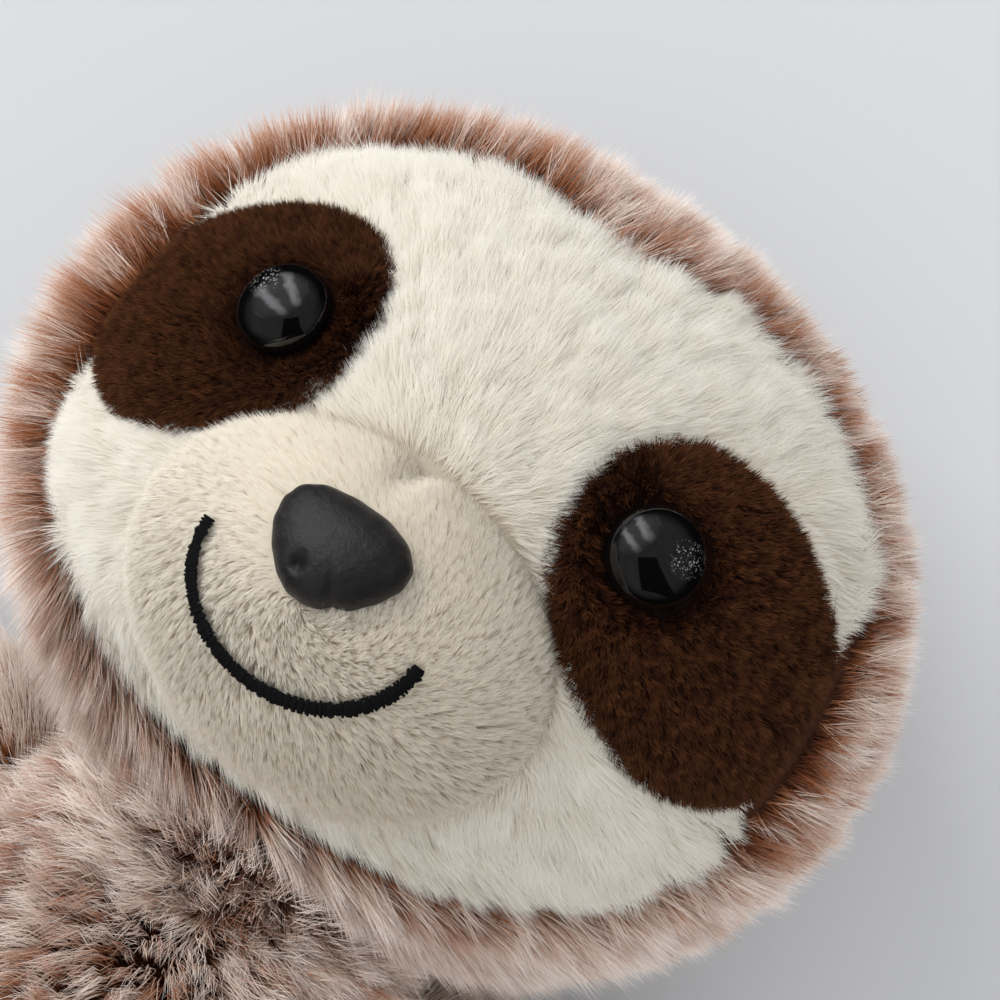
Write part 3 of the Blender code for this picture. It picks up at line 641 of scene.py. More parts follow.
for hand, side in SIDES.items():
    across = HEAD[:2] + EYE_PLACE * (side, 1)
    seat = head_front(across[None], 0)[0]
    outward = outward_of(seat, HEAD, HEAD_HALVES)
    profile = [
        (EYE_CAP * math.sin(a), EYE_HEIGHT - EYE_SEAT - EYE_CAP_RISE * (1 - math.cos(a)))
        for a in np.linspace(0, math.pi / 2, 25)[:21]
    ]
    profile += [
        (EYE_RADIUS * EYE_RIM_SHARE, EYE_RIM), (EYE_RADIUS, EYE_RIM / 4), (EYE_RADIUS, -EYE_SEAT),
        (EYE_SHANK_RADIUS, -EYE_SEAT), (EYE_SHANK_RADIUS, -EYE_SHANK_LENGTH), (0, -EYE_SHANK_LENGTH),
    ]
    mesh = turned_mesh(f"eye_{hand}", profile, seat, outward)
    shape_piece(f"eye_{hand}_dome", mesh, black_plastic, f"eye_{hand}", "head")
    washer = frame["nodes"][f"eye_washer_{hand}"]
    washer.data.materials.clear()
    washer.data.materials.append(white_plastic)


# Face panel
# One rounded piece of cream pile cloth, with holes for the patches and the muzzle. Its pile is
# brushed out from the bridge of the nose and spills over its seams.

FACE_DEPTH = 0.0025
FACE_SEAM_DEPTH = 0.0008
FACE_SEAM_WIDTH = 0.0030
FACE_PILE = 0.0050
FACE_LEAN = 0.91
SEAM_PILE = 0.0014
SEAM_PILE_WIDTH = 0.004
CHIN_START = 0.026
CHIN_END = 0.036
FACE_SWIRL = 0.009
FACE_CURL = 0.004
FACE_ROWS = 90
SEAM_ALLOWANCE = 0.0014
BRIDGE = HEAD[:2] + (0, -0.005)
CLOTH_THICKNESS = 0.0008
MUZZLE = HEAD + (0, -0.0155, 0.0355)
MUZZLE_HALVES = np.array((0.0275, 0.0213, 0.0220))


def patch_level(places, allowance=0.0):
    """Under 1 inside either patch, whose outlines grow by the allowance."""
    x = np.abs(places[:, 0] - HEAD[0]) - PATCH_MIDDLE[0]
    y = places[:, 1] - HEAD[1] - PATCH_MIDDLE[1]
    long = x * math.cos(PATCH_TILT) + y * math.sin(PATCH_TILT)
    wide = y * math.cos(PATCH_TILT) - x * math.sin(PATCH_TILT)
    halves = np.array(PATCH_HALVES) + allowance
    return np.abs(long / halves[0]) ** PATCH_POWER + np.abs(wide / halves[1]) ** PATCH_POWER


def egg_level(places, middle, halves):
    """Under 1 inside an egg, and over 1 outside it."""
    return np.sqrt((((places - middle) / halves) ** 2).sum(-1))


def face_outline():
    """The face panel's outline, one point for each direction round the head's middle."""
    angle = np.linspace(0, math.tau, OUTLINE_POINTS, endpoint=False)
    ends = HEAD[:2] + HEAD_HALVES[:2] * np.stack([np.cos(angle), np.sin(angle)], -1)
    return cut_at(face_level, HEAD[:2], ends)


def eased(value, low, high):
    """Rises smoothly from 0 to 1 between two values."""
    share = np.clip((value - low) / (high - low), 0, 1)
    return share * share * (3 - 2 * share)


def swirled(comb, turns):
    """A comb direction turned about Z at each place."""
    x, y, z = comb.T
    return np.stack([x * np.cos(turns) - y * np.sin(turns), x * np.sin(turns) + y * np.cos(turns), z], -1)


def face_hidden(places):
    """Whether a place of the face panel lies well under a patch or the muzzle."""
    under_patch = patch_level(places, -SEAM_ALLOWANCE) < 1
    return under_patch | (egg_level(places, MUZZLE, MUZZLE_HALVES - 2 * SEAM_ALLOWANCE) < 1)


cream_pile = pile_material(
    "cream_pile",
    dark_stops=((0.0, (220, 210, 192)), (0.4, (236, 231, 218)), (1.0, (243, 240, 232))),
    pale_stops=((0.0, (232, 224, 208)), (0.4, (247, 243, 234)), (1.0, (254, 252, 247))),
    roughness=0.8, through=0.5,
)
cream_backing = backing_material("cream_backing", (214, 206, 188))
CREAM = {
    "Material": cream_pile, "Density": 50e6, "Width": 0.00018, "Segments": 1, "Clump Size": 0.0032,
    "Clump Pull": 0.24, "Clump Turn": 0.45, "Strand Size": 0.0012, "Strand Pull": 0.35, "Stray": 0.35,
    "Lift Spread": 0.12, "Length Spread": 0.4, "Wave": 0.08, "Tone Spread": 0.8, "Softness": 0.8,
    "Seed": 11,
}
outline = face_outline()
share = np.linspace(0.02, 1, FACE_ROWS)[:, None, None]
rows = head_front(HEAD[:2] + (outline - HEAD[:2]) * share, FACE_DEPTH)
mesh, places = cloth_mesh("face", rows, HEAD, wraps=True, cut_away=face_hidden)
from_seam = away_from(places, outline)
sink(mesh, places, HEAD, HEAD_HALVES, FACE_SEAM_DEPTH * near(from_seam, FACE_SEAM_WIDTH))
on_patch, on_dome = patch_level(places), egg_level(places, MUZZLE, MUZZLE_HALVES)
off_patch, off_dome = np.clip((on_patch - 1) / 0.45, 0, 1), np.clip((on_dome - 1) / 0.25, 0, 1)
pile_length = FACE_PILE * (0.6 + 0.4 * off_dome) * (0.4 + 0.6 * off_patch)
pile_length += SEAM_PILE * near(from_seam, SEAM_PILE_WIDTH) * off_patch
comb = np.zeros_like(places)
comb[:, :2] = places[:, :2] - BRIDGE
turns = 0.45 * wander(places, FACE_SWIRL, 5) + 0.25 * wander(places, FACE_CURL, 6)
comb = normed(swirled(comb, turns))
below_chin = eased(FACE_MIDDLE[1] - places[:, 1], CHIN_START, CHIN_END)[:, None]
comb = comb * (1 - 0.7 * below_chin) + below_chin * (0.7, 0, 0)
comb_cloth(mesh, comb, FACE_LEAN, pile_length, (on_patch > 1) & (on_dome > 1))
grow("face_cream_pile", "face_panel", "head", mesh, cream_backing, CLOTH_THICKNESS, CREAM)


# Muzzle
# A dome of short cream velboa over its own handful of filling, gathered at a dart above the
# nose and sewn to the face round its hem.

PICTURE_RIGHT = np.array((0.83, 0.56))
MUZZLE_DEPTH = 0.0008
MUZZLE_HEM = math.acos(-0.3)
MUZZLE_ROWS = 90
MUZZLE_PILE = 0.0017
HEM_DEPTH = 0.0008
DART_PLACE = HEAD[:2] + (0.0, 0.0030)
DART_DEPTH = 0.0016
DART_WIDTH = 0.0020
MUZZLE_CLOTH_ROOM = 0.0029
NOTCH_PLACE = MUZZLE[:2] + (0.0034, 0.0004)
NOTCH_WIDTH = 0.0011

cream_knit = pile_material(
    "cream_knit",
    dark_stops=((0.0, (226, 217, 200)), (0.5, (238, 231, 217)), (1.0, (244, 239, 228))),
    pale_stops=((0.0, (233, 225, 209)), (0.5, (245, 239, 226)), (1.0, (251, 247, 238))),
    roughness=0.85, through=0.5,
)
KNIT = {
    "Material": cream_knit, "Density": 47e6, "Width": 0.00022, "Segments": 1, "Clump Size": 0.0010,
    "Clump Pull": 0.42, "Clump Turn": 0.6, "Strand Size": 0.0005, "Strand Pull": 0.2, "Stray": 0.4,
    "Lift Spread": 0.2, "Length Spread": 0.3, "Wave": 0.05, "Tone Spread": 0.7, "Softness": 0.8,
    "Seed": 21,
}


def egg_rows(middle, halves, first, last, count, around=OUTLINE_POINTS):
    """Rings of an egg, by the angle from its top."""
    down = np.linspace(first, last, count)[:, None]
    angle = np.linspace(0, math.tau, around, endpoint=False)[None]
    ways = (np.sin(down) * np.cos(angle), np.sin(down) * np.sin(angle), np.cos(down) + 0 * angle)
    return middle + halves * np.stack(ways, -1)


rows = egg_rows(MUZZLE, MUZZLE_HALVES - MUZZLE_DEPTH, 0, MUZZLE_HEM, MUZZLE_ROWS)
mesh, places = cloth_mesh("muzzle", rows, MUZZLE, wraps=True)
above_face = egg_level(places, HEAD, HEAD_HALVES - FACE_DEPTH) - 1
from_dart = np.linalg.norm((places[:, :2] - DART_PLACE) / (DART_WIDTH, 2 * DART_WIDTH), axis=1)
sunk = DART_DEPTH * near(from_dart, 1) + HEM_DEPTH * near(above_face, 0.05)
sink(mesh, places, MUZZLE, MUZZLE_HALVES, sunk)
outward = outward_of(places, MUZZLE, MUZZLE_HALVES)
melt = near(above_face, 0.10) * (1 - 0.9 * eased(outward[:, :2] @ PICTURE_RIGHT, -0.1, 0.5))
around = np.stack([-outward[:, 1], outward[:, 0], 0 * places[:, 0]], -1)
comb = outward * (0.35, 0.35, 0) + around * (1 - melt[:, None]) + outward * (1, 1, 0) * melt[:, None]
by_notch = near(np.linalg.norm(places[:, :2] - NOTCH_PLACE, axis=1), NOTCH_WIDTH)
pile_length = MUZZLE_PILE * (1 + 1.3 * melt + 0.9 * by_notch)
comb_cloth(mesh, comb, 0.6 + 0.25 * melt, pile_length, above_face > -0.01)
grow("muzzle_velboa", "muzzle_panel", "head", mesh, cream_backing, VELBOA_BACKING, KNIT)


def add_bump(material, height, distance, strength=1.0):
    bump = step(material.node_tree, "ShaderNodeBump",
                {"Height": height, "Distance": distance, "Strength": strength})
    set_input(material, "Normal", bump.outputs[0])


WOOL_BUMP = 0.0004
white_filling = plain_material("white_filling", (236, 236, 232), 1.0)
wool = noisy(object_place(white_filling), 420.0, Detail=6.0, Distortion=2.0)["Fac"]
two_shades(white_filling, wool, (196, 196, 192), (250, 250, 247))
add_bump(white_filling, wool, WOOL_BUMP)

FILLING_LUMP = 0.0006
FILLING_LUMP_SIZE = 0.009


def pressed_in(places, core, middle, halves):
    """Moves what lies inside an egg on to its far side, towards the core of the filling."""
    way = (core - places) / halves
    start = (places - middle) / halves
    a, b, c = (way ** 2).sum(-1), 2 * (way * start).sum(-1), (start ** 2).sum(-1) - 1
    share = (-b + np.sqrt(np.maximum(b * b - 4 * a * c, 0))) / (2 * np.maximum(a, 1e-12))
    return np.where(c[:, None] < 0, places + (core - places) * share[:, None], places)


def stuff(node, body, rows, core, seed, hollows=(), wraps=False):
    """A piece of filling: a form with soft lumps, pressed in where other pieces sit."""
    mesh, places = cloth_mesh(node, rows, core, wraps)
    normals = np.empty(len(places) * 3, np.float32)
    mesh.vertices.foreach_get("normal", normals)
    lumps = wander(places, FILLING_LUMP_SIZE, seed)[:, None]
    places = places + normals.reshape(-1, 3) * (lumps - 1) * FILLING_LUMP / 2
    for middle, halves in hollows:
        places = pressed_in(places, core, middle, halves)
    move_places(mesh, places)
    shape_piece(f"{node}_fibre", mesh, white_filling, node, body)


rows = egg_rows(MUZZLE, MUZZLE_HALVES - MUZZLE_CLOTH_ROOM, 0, math.pi, 40, around=72)
stuff("muzzle_filling", "head", rows, MUZZLE, seed=2, wraps=True)


# Nose
# A small padded shield of black satin, wide at the top, with a small dent. It is sewn down round
# its edge to the front of the muzzle.

NOSE_HALVES = np.array((0.0074, 0.0060, 0.0044))
NOSE_RISE = 0.0058
NOSE_TAPER = 0.30
NOSE_POWER = 2.15
NOSE_NOTCH = 0.09
NOTCH_ANGLE = -0.95
NOSE_BACK_SHARE = 0.35
NOSE_DIMPLE = 0.0010
NOSE_DIMPLE_PLACE = (-0.24, -0.60)
NOSE_DIMPLE_WIDTH = 0.13
NOTCH_SPREAD = 0.13
RIM_RIPPLE = 0.012
PUCKER = 0.00012
PUCKER_START = 0.55
SATIN_BUMP = 0.0002
SATIN_DARK = (4, 3, 4)
SATIN_PALE = (25, 21, 23)


def on_muzzle(across, lift):
    """Places a lift above the muzzle's surface, over places across and up from its middle."""
    halves = MUZZLE_HALVES + lift
    height = halves[2] * np.sqrt(1 - ((across / halves[:2]) ** 2).sum(-1))
    return MUZZLE + np.concatenate([across, height[..., None]], -1)


black_satin = plain_material("black_satin", SATIN_PALE, 0.52, specular=0.65)
place = object_place(black_satin)
add_bump(black_satin, noisy(place, 1100.0, Detail=4.0, Roughness=0.7)["Fac"], SATIN_BUMP, 0.8)
worn = ranged(noisy(place, 420.0, Detail=4.0)["Fac"], 0.3, 0.7)
two_shades(black_satin, worn, SATIN_DARK, SATIN_PALE)

rows = egg_rows(np.zeros(3), np.ones(3), 0, math.pi, 60, around=120)
unit = rows.reshape(-1, 3)
flat = np.linalg.norm(unit[:, :2], axis=1)
angle = np.arctan2(unit[:, 1], unit[:, 0])
rim = (np.abs(np.cos(angle)) ** NOSE_POWER + np.abs(np.sin(angle)) ** NOSE_POWER) ** (-1 / NOSE_POWER)
ripple = RIM_RIPPLE * np.sin(angle * 11) * np.sin(angle * 5 + 1)
rim *= 1 - NOSE_NOTCH * near(angle - NOTCH_ANGLE, NOTCH_SPREAD) + ripple
x, y = unit[:, 0] * rim, unit[:, 1] * rim
in_front = unit[:, 2] > 0
z = np.where(in_front, np.abs(unit[:, 2]) ** 0.85, unit[:, 2] * NOSE_BACK_SHARE)
shield = np.stack([x * (1 + NOSE_TAPER * y), y, z], -1) * NOSE_HALVES
from_dimple = np.hypot(x - NOSE_DIMPLE_PLACE[0], y - NOSE_DIMPLE_PLACE[1])
shield[:, 2] -= NOSE_DIMPLE * near(from_dimple, NOSE_DIMPLE_WIDTH) * in_front
pucker = np.cos(angle * 17 + 1.3) * 0.5 + np.cos(angle * 29) * 0.5
shield[:, 2] += PUCKER * pucker * np.clip(flat - PUCKER_START, 0, 1) * in_front
nose_place = on_muzzle(np.array([[0, NOSE_RISE]]), 0)[0]
nose_out = outward_of(nose_place, MUZZLE, MUZZLE_HALVES)
shield = shield @ np.array([(1, 0, 0), np.cross(nose_out, (1, 0, 0)), nose_out]) + nose_place
mesh, places = cloth_mesh("nose", shield.reshape(rows.shape), nose_place, wraps=True)
shape_piece("nose_satin", mesh, black_satin, "nose_pad", "head")


# Smile
# One curved line of black satin stitches, sewn into the muzzle below the nose. Each stitch is
# laid across the line and sunk into the velboa.

SMILE_HALF_WIDTH = 0.0135
SMILE_DEPTH = 0.0108
SMILE_RISE = 0.0013
SMILE_LIFT = 0.0007
STITCH_PITCH = 0.00019
STITCH_LENGTH = 0.0016
STITCH_RADIUS = 0.00014
STITCH_ARCH = 0.00022
SHORT_STITCH = 0.72
LONG_STITCH = 1.16

black_thread = plain_material("black_thread", (9, 9, 11), 0.8, specular=0.2)


def make_stitch_tree():
    """Lays a stitch across a line at every pitch, standing on the cloth's outward direction."""
    sizes = dict.fromkeys(("Pitch", "Length", "Radius", "Arch"), "NodeSocketFloat")
    inputs = {"Geometry": "NodeSocketGeometry", "Material": "NodeSocketMaterial", **sizes}
    tree, given = begin_tree("satin_stitch", inputs)
    line = changed("MeshToCurve", given["Geometry"])
    points = step(tree, "GeometryNodeCurveToPoints", {0: line, "Length": given["Pitch"]}, mode="LENGTH")
    upright = step(tree, "FunctionNodeAlignRotationToVector",
                   {"Vector": read(tree, "outward", "FLOAT_VECTOR")}, axis="Z")
    laid = step(tree, "FunctionNodeAlignRotationToVector",
                {"Rotation": upright.outputs[0], "Vector": points.outputs["Tangent"]},
                axis="X", pivot_axis="Z")
    thread = step(tree, "GeometryNodeCurvePrimitiveLine", {0: (0, -0.5, 0), 1: (0, 0.5, 0)}).outputs[0]
    thread = changed("ResampleCurve", thread, {"Count": 9})
    along = parts(step(tree, "GeometryNodeInputPosition").outputs[0])[1]
    level = minus(1.0, times(times(along, along), 4.0))
    shape = step(tree, "ShaderNodeCombineXYZ",
                 {"Y": times(along, given["Length"]), "Z": times(level, given["Arch"])})
    thread = changed("SetPosition", thread, {"Position": shape.outputs[0]})
    ring = step(tree, "GeometryNodeCurvePrimitiveCircle", {"Resolution": 6, "Radius": given["Radius"]})
    thread = changed("CurveToMesh", thread, {"Profile Curve": ring.outputs[0], "Fill Caps": True})
    uneven = step(tree, "FunctionNodeRandomValue", {"Min": SHORT_STITCH, "Max": LONG_STITCH, "Seed": 4},
                  data_type="FLOAT")
    stitches = changed("InstanceOnPoints", points.outputs[0], {
        "Instance": thread, "Rotation": laid.outputs[0], "Scale": uneven.outputs["Value"],
    })
    return end_tree(stitches, {"Material": given["Material"]})


turns = np.linspace(0, math.pi, 60)
across = np.stack([-SMILE_HALF_WIDTH * np.cos(turns), SMILE_RISE - SMILE_DEPTH * np.sin(turns)], -1)
line = on_muzzle(across, SMILE_LIFT)
mesh = bpy.data.meshes.new("smile")
mesh.from_pydata(line.tolist(), [(i, i + 1) for i in range(len(line) - 1)], [])
attribute = mesh.attributes.new("outward", "FLOAT_VECTOR", "POINT")
attribute.data.foreach_set("vector", outward_of(line, MUZZLE, MUZZLE_HALVES).astype(np.float32).ravel())
smile = new_object("smile_stitches", mesh)
mesh = run_nodes(smile, make_stitch_tree(), {
    "Pitch": STITCH_PITCH, "Length": STITCH_LENGTH, "Radius": STITCH_RADIUS, "Arch": STITCH_ARCH,
    "Material": black_thread,
})
mesh.attributes.remove(mesh.attributes["outward"])
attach(smile, "head")
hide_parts("smile_embroidery")


# Head covers
# Two halves of frosted fur cloth, joined down the middle of the head and sewn round the face.
# The pile is rust at its roots and pale at its tips, and is brushed back from the face.

FUR_DEPTH = 0.0020
FUR_PILE = 0.0078
FUR_LEAN = 0.88
HEAD_FUR_ROWS = 70
HEAD_FUR_COLUMNS = 90
HEAD_SEAM_DEPTH = 0.0012
HEAD_SEAM_WIDTH = 0.0020
SEAM_BARE = 0.0024
SEAM_RUST_WIDTH = 0.005
SEAM_PALE_START = 0.006
SEAM_PALE_END = 0.016
HEAD_MOTTLE = 0.006
BARE_ROOM = 0.001
pivots = {joint["name"]: np.array(joint["pos_m"]) for joint in frame["joints"]}
NECK = pivots["neck_nod"]
NECK_RADIUS = 0.028
OPENING_HEM = 0.0008
SEAM_TUCK = 0.012

frosted_fur = pile_material(
    "frosted_fur",
    dark_stops=(
        (0.0, (34, 16, 10)), (0.3, (112, 59, 30)), (0.65, (162, 103, 67)), (1.0, (212, 182, 162)),
    ),
    pale_stops=(
        (0.0, (72, 38, 22)), (0.2, (172, 112, 74)), (0.42, (228, 209, 194)), (0.85, (250, 243, 237)),
    ),
    roughness=0.8, through=0.25,
)
fur_backing = backing_material("fur_backing", (150, 110, 90))
FUR = {
    "Material": frosted_fur, "Density": 25e6, "Width": 0.00018, "Segments": 1, "Clump Size": 0.0021,
    "Clump Pull": 0.6, "Clump Turn": 0.7, "Strand Size": 0.0008, "Strand Pull": 0.25, "Stray": 0.3,
    "Lift Spread": 0.22, "Length Spread": 0.4, "Wave": 0.06, "Tone Spread": 2.0, "Softness": 0.6,
    "Seed": 31,
}


def in_neck(places, room=-OPENING_HEM):
    return np.linalg.norm(places - NECK, axis=-1) < NECK_RADIUS + room


for hand, side in SIDES.items():
    angle = np.linspace(-math.pi / 2, math.pi / 2, HEAD_FUR_COLUMNS)
    ring = np.stack([side * np.cos(angle), np.sin(angle)], -1)
    ends = HEAD[:2] + HEAD_HALVES[:2] * ring
    seam_share = np.linalg.norm(cut_at(face_level, HEAD[:2], ends) - HEAD[:2], axis=1)
    seam_share = seam_share / np.linalg.norm(ends - HEAD[:2], axis=1)
    first = np.arcsin(seam_share) - SEAM_TUCK
    down = first + (math.pi - first) * np.linspace(0, 1, HEAD_FUR_ROWS)[:, None]
    ways = np.stack([np.sin(down) * ring[:, 0], np.sin(down) * ring[:, 1], np.cos(down)], -1)
    rows = HEAD + (HEAD_HALVES - FUR_DEPTH) * ways
    mesh, places = cloth_mesh(f"head_{hand}", rows, HEAD, cut_away=in_neck)
    unit = normed((places - HEAD) / (HEAD_HALVES - FUR_DEPTH))
    in_front = unit[:, 2] > 0
    turned = np.degrees(np.arccos(np.clip(unit[:, 2], -1, 1)))
    from_seam = np.where(in_front, away_from(places, face_outline()), 1)
    sunk = near(from_seam, HEAD_SEAM_WIDTH) + 0.5 * near(np.abs(places[:, 0]), HEAD_SEAM_WIDTH)
    sink(mesh, places, HEAD, HEAD_HALVES, HEAD_SEAM_DEPTH * sunk)
    flat = np.maximum(np.linalg.norm(unit[:, :2], axis=1, keepdims=True), 1e-3)
    facing = unit[:, :2] / flat
    comb = normed(np.concatenate([facing * unit[:, 2:], -flat], 1) * HEAD_HALVES)
    back = eased(turned, 85, 140)[:, None]
    comb = comb * (1 - back) + back * (0, -1, 0)
    swept = 0.7 * eased(facing @ PICTURE_RIGHT, -0.6, 0.1)[:, None]
    comb += swept * (*PICTURE_RIGHT, 0)
    chin = (eased(-facing[:, 1], 0.5, 0.85) * in_front)[:, None]
    comb = comb * (1 - chin) + chin * (1, -0.2, 0)
    cover = 1 - 0.85 * eased(turned, 105, 135)
    cover = cover * ~in_neck(places, BARE_ROOM) * (from_seam > SEAM_BARE)
    fluffed = np.clip(-unit[:, 0], 0, 1)
    pressed = np.clip(unit[:, :2] @ PICTURE_RIGHT, 0, 1)
    tint = 0.45 + 0.3 * wander(places, HEAD_MOTTLE, 15) - 0.4 * near(from_seam, SEAM_RUST_WIDTH)
    tint += 0.35 * eased(from_seam, SEAM_PALE_START, SEAM_PALE_END)
    tint += 0.28 * pressed + 0.35 * eased(-facing[:, 1], 0.1, 0.8)
    lean = FUR_LEAN - 0.13 * fluffed + 0.05 * pressed
    comb_cloth(mesh, comb, lean, FUR_PILE * (1 + 0.35 * fluffed - 0.2 * pressed), cover, tint)
    grow(f"head_{hand}_fur_pile", f"head_fur_{hand}", "head", mesh,
         fur_backing, CLOTH_THICKNESS, {**FUR, "Seed": FUR["Seed"] + side})


# Head filling
# Loose polyester fibre that fills the head behind its covers. It is hollowed where the muzzle
# and the neck press into it.

COVER_ROOM = 0.0049
FILLING_ROOM = 0.0004
HOLLOW_ROOM = 0.0016
rows = egg_rows(HEAD, HEAD_HALVES - COVER_ROOM, 0, math.pi, 60, around=120)
hollows = [(MUZZLE, MUZZLE_HALVES + FILLING_ROOM), (NECK, np.full(3, NECK_RADIUS + HOLLOW_ROOM))]
stuff("head_filling", "head", rows, HEAD, 5, hollows, wraps=True)


# Body covers
# A front and a back of the same frosted fur, joined at the sides, drawn in at the neck. Round
# openings take the roots of the arms and legs.

BODY_HALVES = np.array((0.050, 0.066, 0.042))
BODY_TAPER = 0.12
BODY_BLEND = 6
NECK_DROP = 0.004
BODY = np.array((0, NECK[1] - BODY_HALVES[1] - NECK_DROP, BODY_HALVES[2] - PRESS))
BODY_ROWS = 120
BODY_COLUMNS = 80
BODY_LEAN = 0.58
BODY_PILE = 0.0060
FRONT_DENSITY = 0.5 * FUR["Density"]
BACK_DENSITY = 0.14 * FUR["Density"]
BODY_FUR = {
    **FUR, "Width": 0.00016, "Clump Pull": 0.95, "Clump Turn": 1.3, "Strand Pull": 0.1, "Stray": 0.15,
    "Wave": 0.2, "Lift Spread": 0.4, "Softness": 0.4, "Seed": 41,
}
WHORL = np.array((0.004, 0.050, 0))
WHORL_LEAN = 0.15
WHORL_WIDTH = 0.022
UNDER_HEAD = 0.003
UNDERSIDE = 0.02
THIN_START = 0.045
THIN_END = 0.065
BODY_SWIRL = 0.014
BODY_CURL = 0.005
BODY_TUFTS = 0.012
BODY_MOTTLE = 0.005
ROOT_ROOM = 0.0005
ARM_RADIUS = 0.0180
LEG_RADIUS = 0.0205
LIMB_ROOTS = [
    (pivots[f"{joint}_{hand}"], radius)
    for joint, radius in (("shoulder", ARM_RADIUS), ("hip", LEG_RADIUS)) for hand in SIDES
]


def body_rows(depth, first, last, rows, columns):
    """Rings down the body, each from one angle round it to another. Zero is its left side."""
    neck_top = NECK[1] + NECK_RADIUS - depth
    y = BODY[1] - BODY_HALVES[1] + depth + (neck_top - BODY[1] + BODY_HALVES[1] - depth) * (
        1 - np.cos(np.linspace(0, math.pi, rows))) / 2
    y = y[::-1]
    along = (y - BODY[1]) / (BODY_HALVES[1] - depth)
    swell = np.sqrt(np.clip(1 - along ** 2, 0, None))
    neck = np.sqrt(np.clip((NECK_RADIUS - depth) ** 2 - (y - NECK[1]) ** 2, 0, None))
    wide = (BODY_HALVES[0] - depth) * swell * (1 - BODY_TAPER * along)
    deep = (BODY_HALVES[2] - depth) * swell
    wide = (wide ** BODY_BLEND + neck ** BODY_BLEND) ** (1 / BODY_BLEND)
    deep = (deep ** BODY_BLEND + neck ** BODY_BLEND) ** (1 / BODY_BLEND)
    angle = np.linspace(first, last, columns)
    x = -wide[:, None] * np.cos(angle)
    z = BODY[2] + deep[:, None] * np.sin(angle)
    return np.stack([x, y[:, None] + 0 * x, z], -1)


def in_limb_root(places, room=-OPENING_HEM):
    found = np.zeros(len(places), bool)
    for root, radius in LIMB_ROOTS:
        found |= np.linalg.norm(places - root, axis=1) < radius + room
    return found


for name, first, density, segments in (
    ("front", 0, FRONT_DENSITY, 2),
    ("back", math.pi, BACK_DENSITY, 1),
):
    rows = body_rows(FUR_DEPTH, first, first + math.pi, BODY_ROWS, BODY_COLUMNS)
    mesh, places = cloth_mesh(f"body_{name}", rows, BODY, cut_away=in_limb_root)
    from_side = np.abs(places[:, 2] - BODY[2])
    sink(mesh, places, BODY, BODY_HALVES, 0.5 * HEAD_SEAM_DEPTH * near(from_side, HEAD_SEAM_WIDTH))
    comb = (places - WHORL) * (1, 1, 0)
    from_whorl = np.linalg.norm(comb, axis=1)
    turns = 0.6 * wander(places, BODY_SWIRL, 7) + wander(places, BODY_CURL, 9)
    comb = swirled(comb / from_whorl[:, None], turns)
    hidden = (egg_level(places, HEAD, HEAD_HALVES - UNDER_HEAD) < 1) | in_limb_root(places, ROOT_ROOM)
    cover = np.where(hidden, 0, 1 - 0.65 * (BODY[2] - places[:, 2] > UNDERSIDE))
    cover = cover * (1 - 0.55 * eased(from_whorl, THIN_START, THIN_END))
    by_head = near(np.maximum(egg_level(places, HEAD, HEAD_HALVES) - 1, 0), 0.35)
    lean = WHORL_LEAN + (BODY_LEAN - WHORL_LEAN) * eased(from_whorl, 0, WHORL_WIDTH)
    lean += 0.15 * wander(places, BODY_TUFTS, 13)
    # Painted light: near the head the pile is also tinted paler, which lifts the shade that falls under
    # the head.
    tint = 0.45 + 0.55 * wander(places, BODY_MOTTLE, 19) + 0.3 * by_head
    comb_cloth(mesh, comb, lean, BODY_PILE * (1 + 0.5 * by_head), cover, tint)
    grow(f"body_{name}_fur_pile", f"body_{name}", "body", mesh,
         fur_backing, CLOTH_THICKNESS, {**BODY_FUR, "Density": density, "Segments": segments})


# Body filling and pellet bag
# Loose fibre fills the body. A small calico bag of pellets is laid in it, low in the seat, before
# the last seam is closed.

BAG_HALVES = np.array((0.026, 0.030, 0.013))
BAG_BELOW_MIDDLE = 0.016
BAG_OVER_TABLE = 0.0045
BAG = np.array((0, BODY[1] - BAG_BELOW_MIDDLE, BAG_OVER_TABLE + BAG_HALVES[2]))
BAG_CLOTH = 0.0006
PELLET = 0.0028
PELLET_RISE = 0.0005

calico = plain_material("calico", (228, 220, 202), 0.9)
warp, weft = (
    step(calico.node_tree, "ShaderNodeTexWave", {"Vector": object_place(calico), "Scale": 500.0},
         bands_direction=way).outputs["Fac"] for way in "XY"
)
two_shades(calico, times(warp, weft), (206, 196, 174), (236, 229, 213))

rows = body_rows(COVER_ROOM, 0, math.tau, 70, 80)
hollows = [(root, np.full(3, radius + HOLLOW_ROOM)) for root, radius in LIMB_ROOTS]
hollows.append((BAG, BAG_HALVES + FILLING_ROOM))
stuff("body_filling", "body", rows, BODY, 8, hollows)
rows = egg_rows(BAG, BAG_HALVES - BAG_CLOTH, 0, math.pi, 60, around=120)
mesh, places = cloth_mesh("pellet_bag", rows, BAG, wraps=True)
sink(mesh, places, BAG, BAG_HALVES, -PELLET_RISE * wander(places, PELLET, 3))
shape_piece("pellet_bag_calico", mesh, calico, "pellet_bag", "body")


# Arms and legs
# Each limb is an upper and an under panel of frosted fur, joined at its sides and stuffed, with
# three stuffed velboa claws let into the end. Its round root sits in the body.

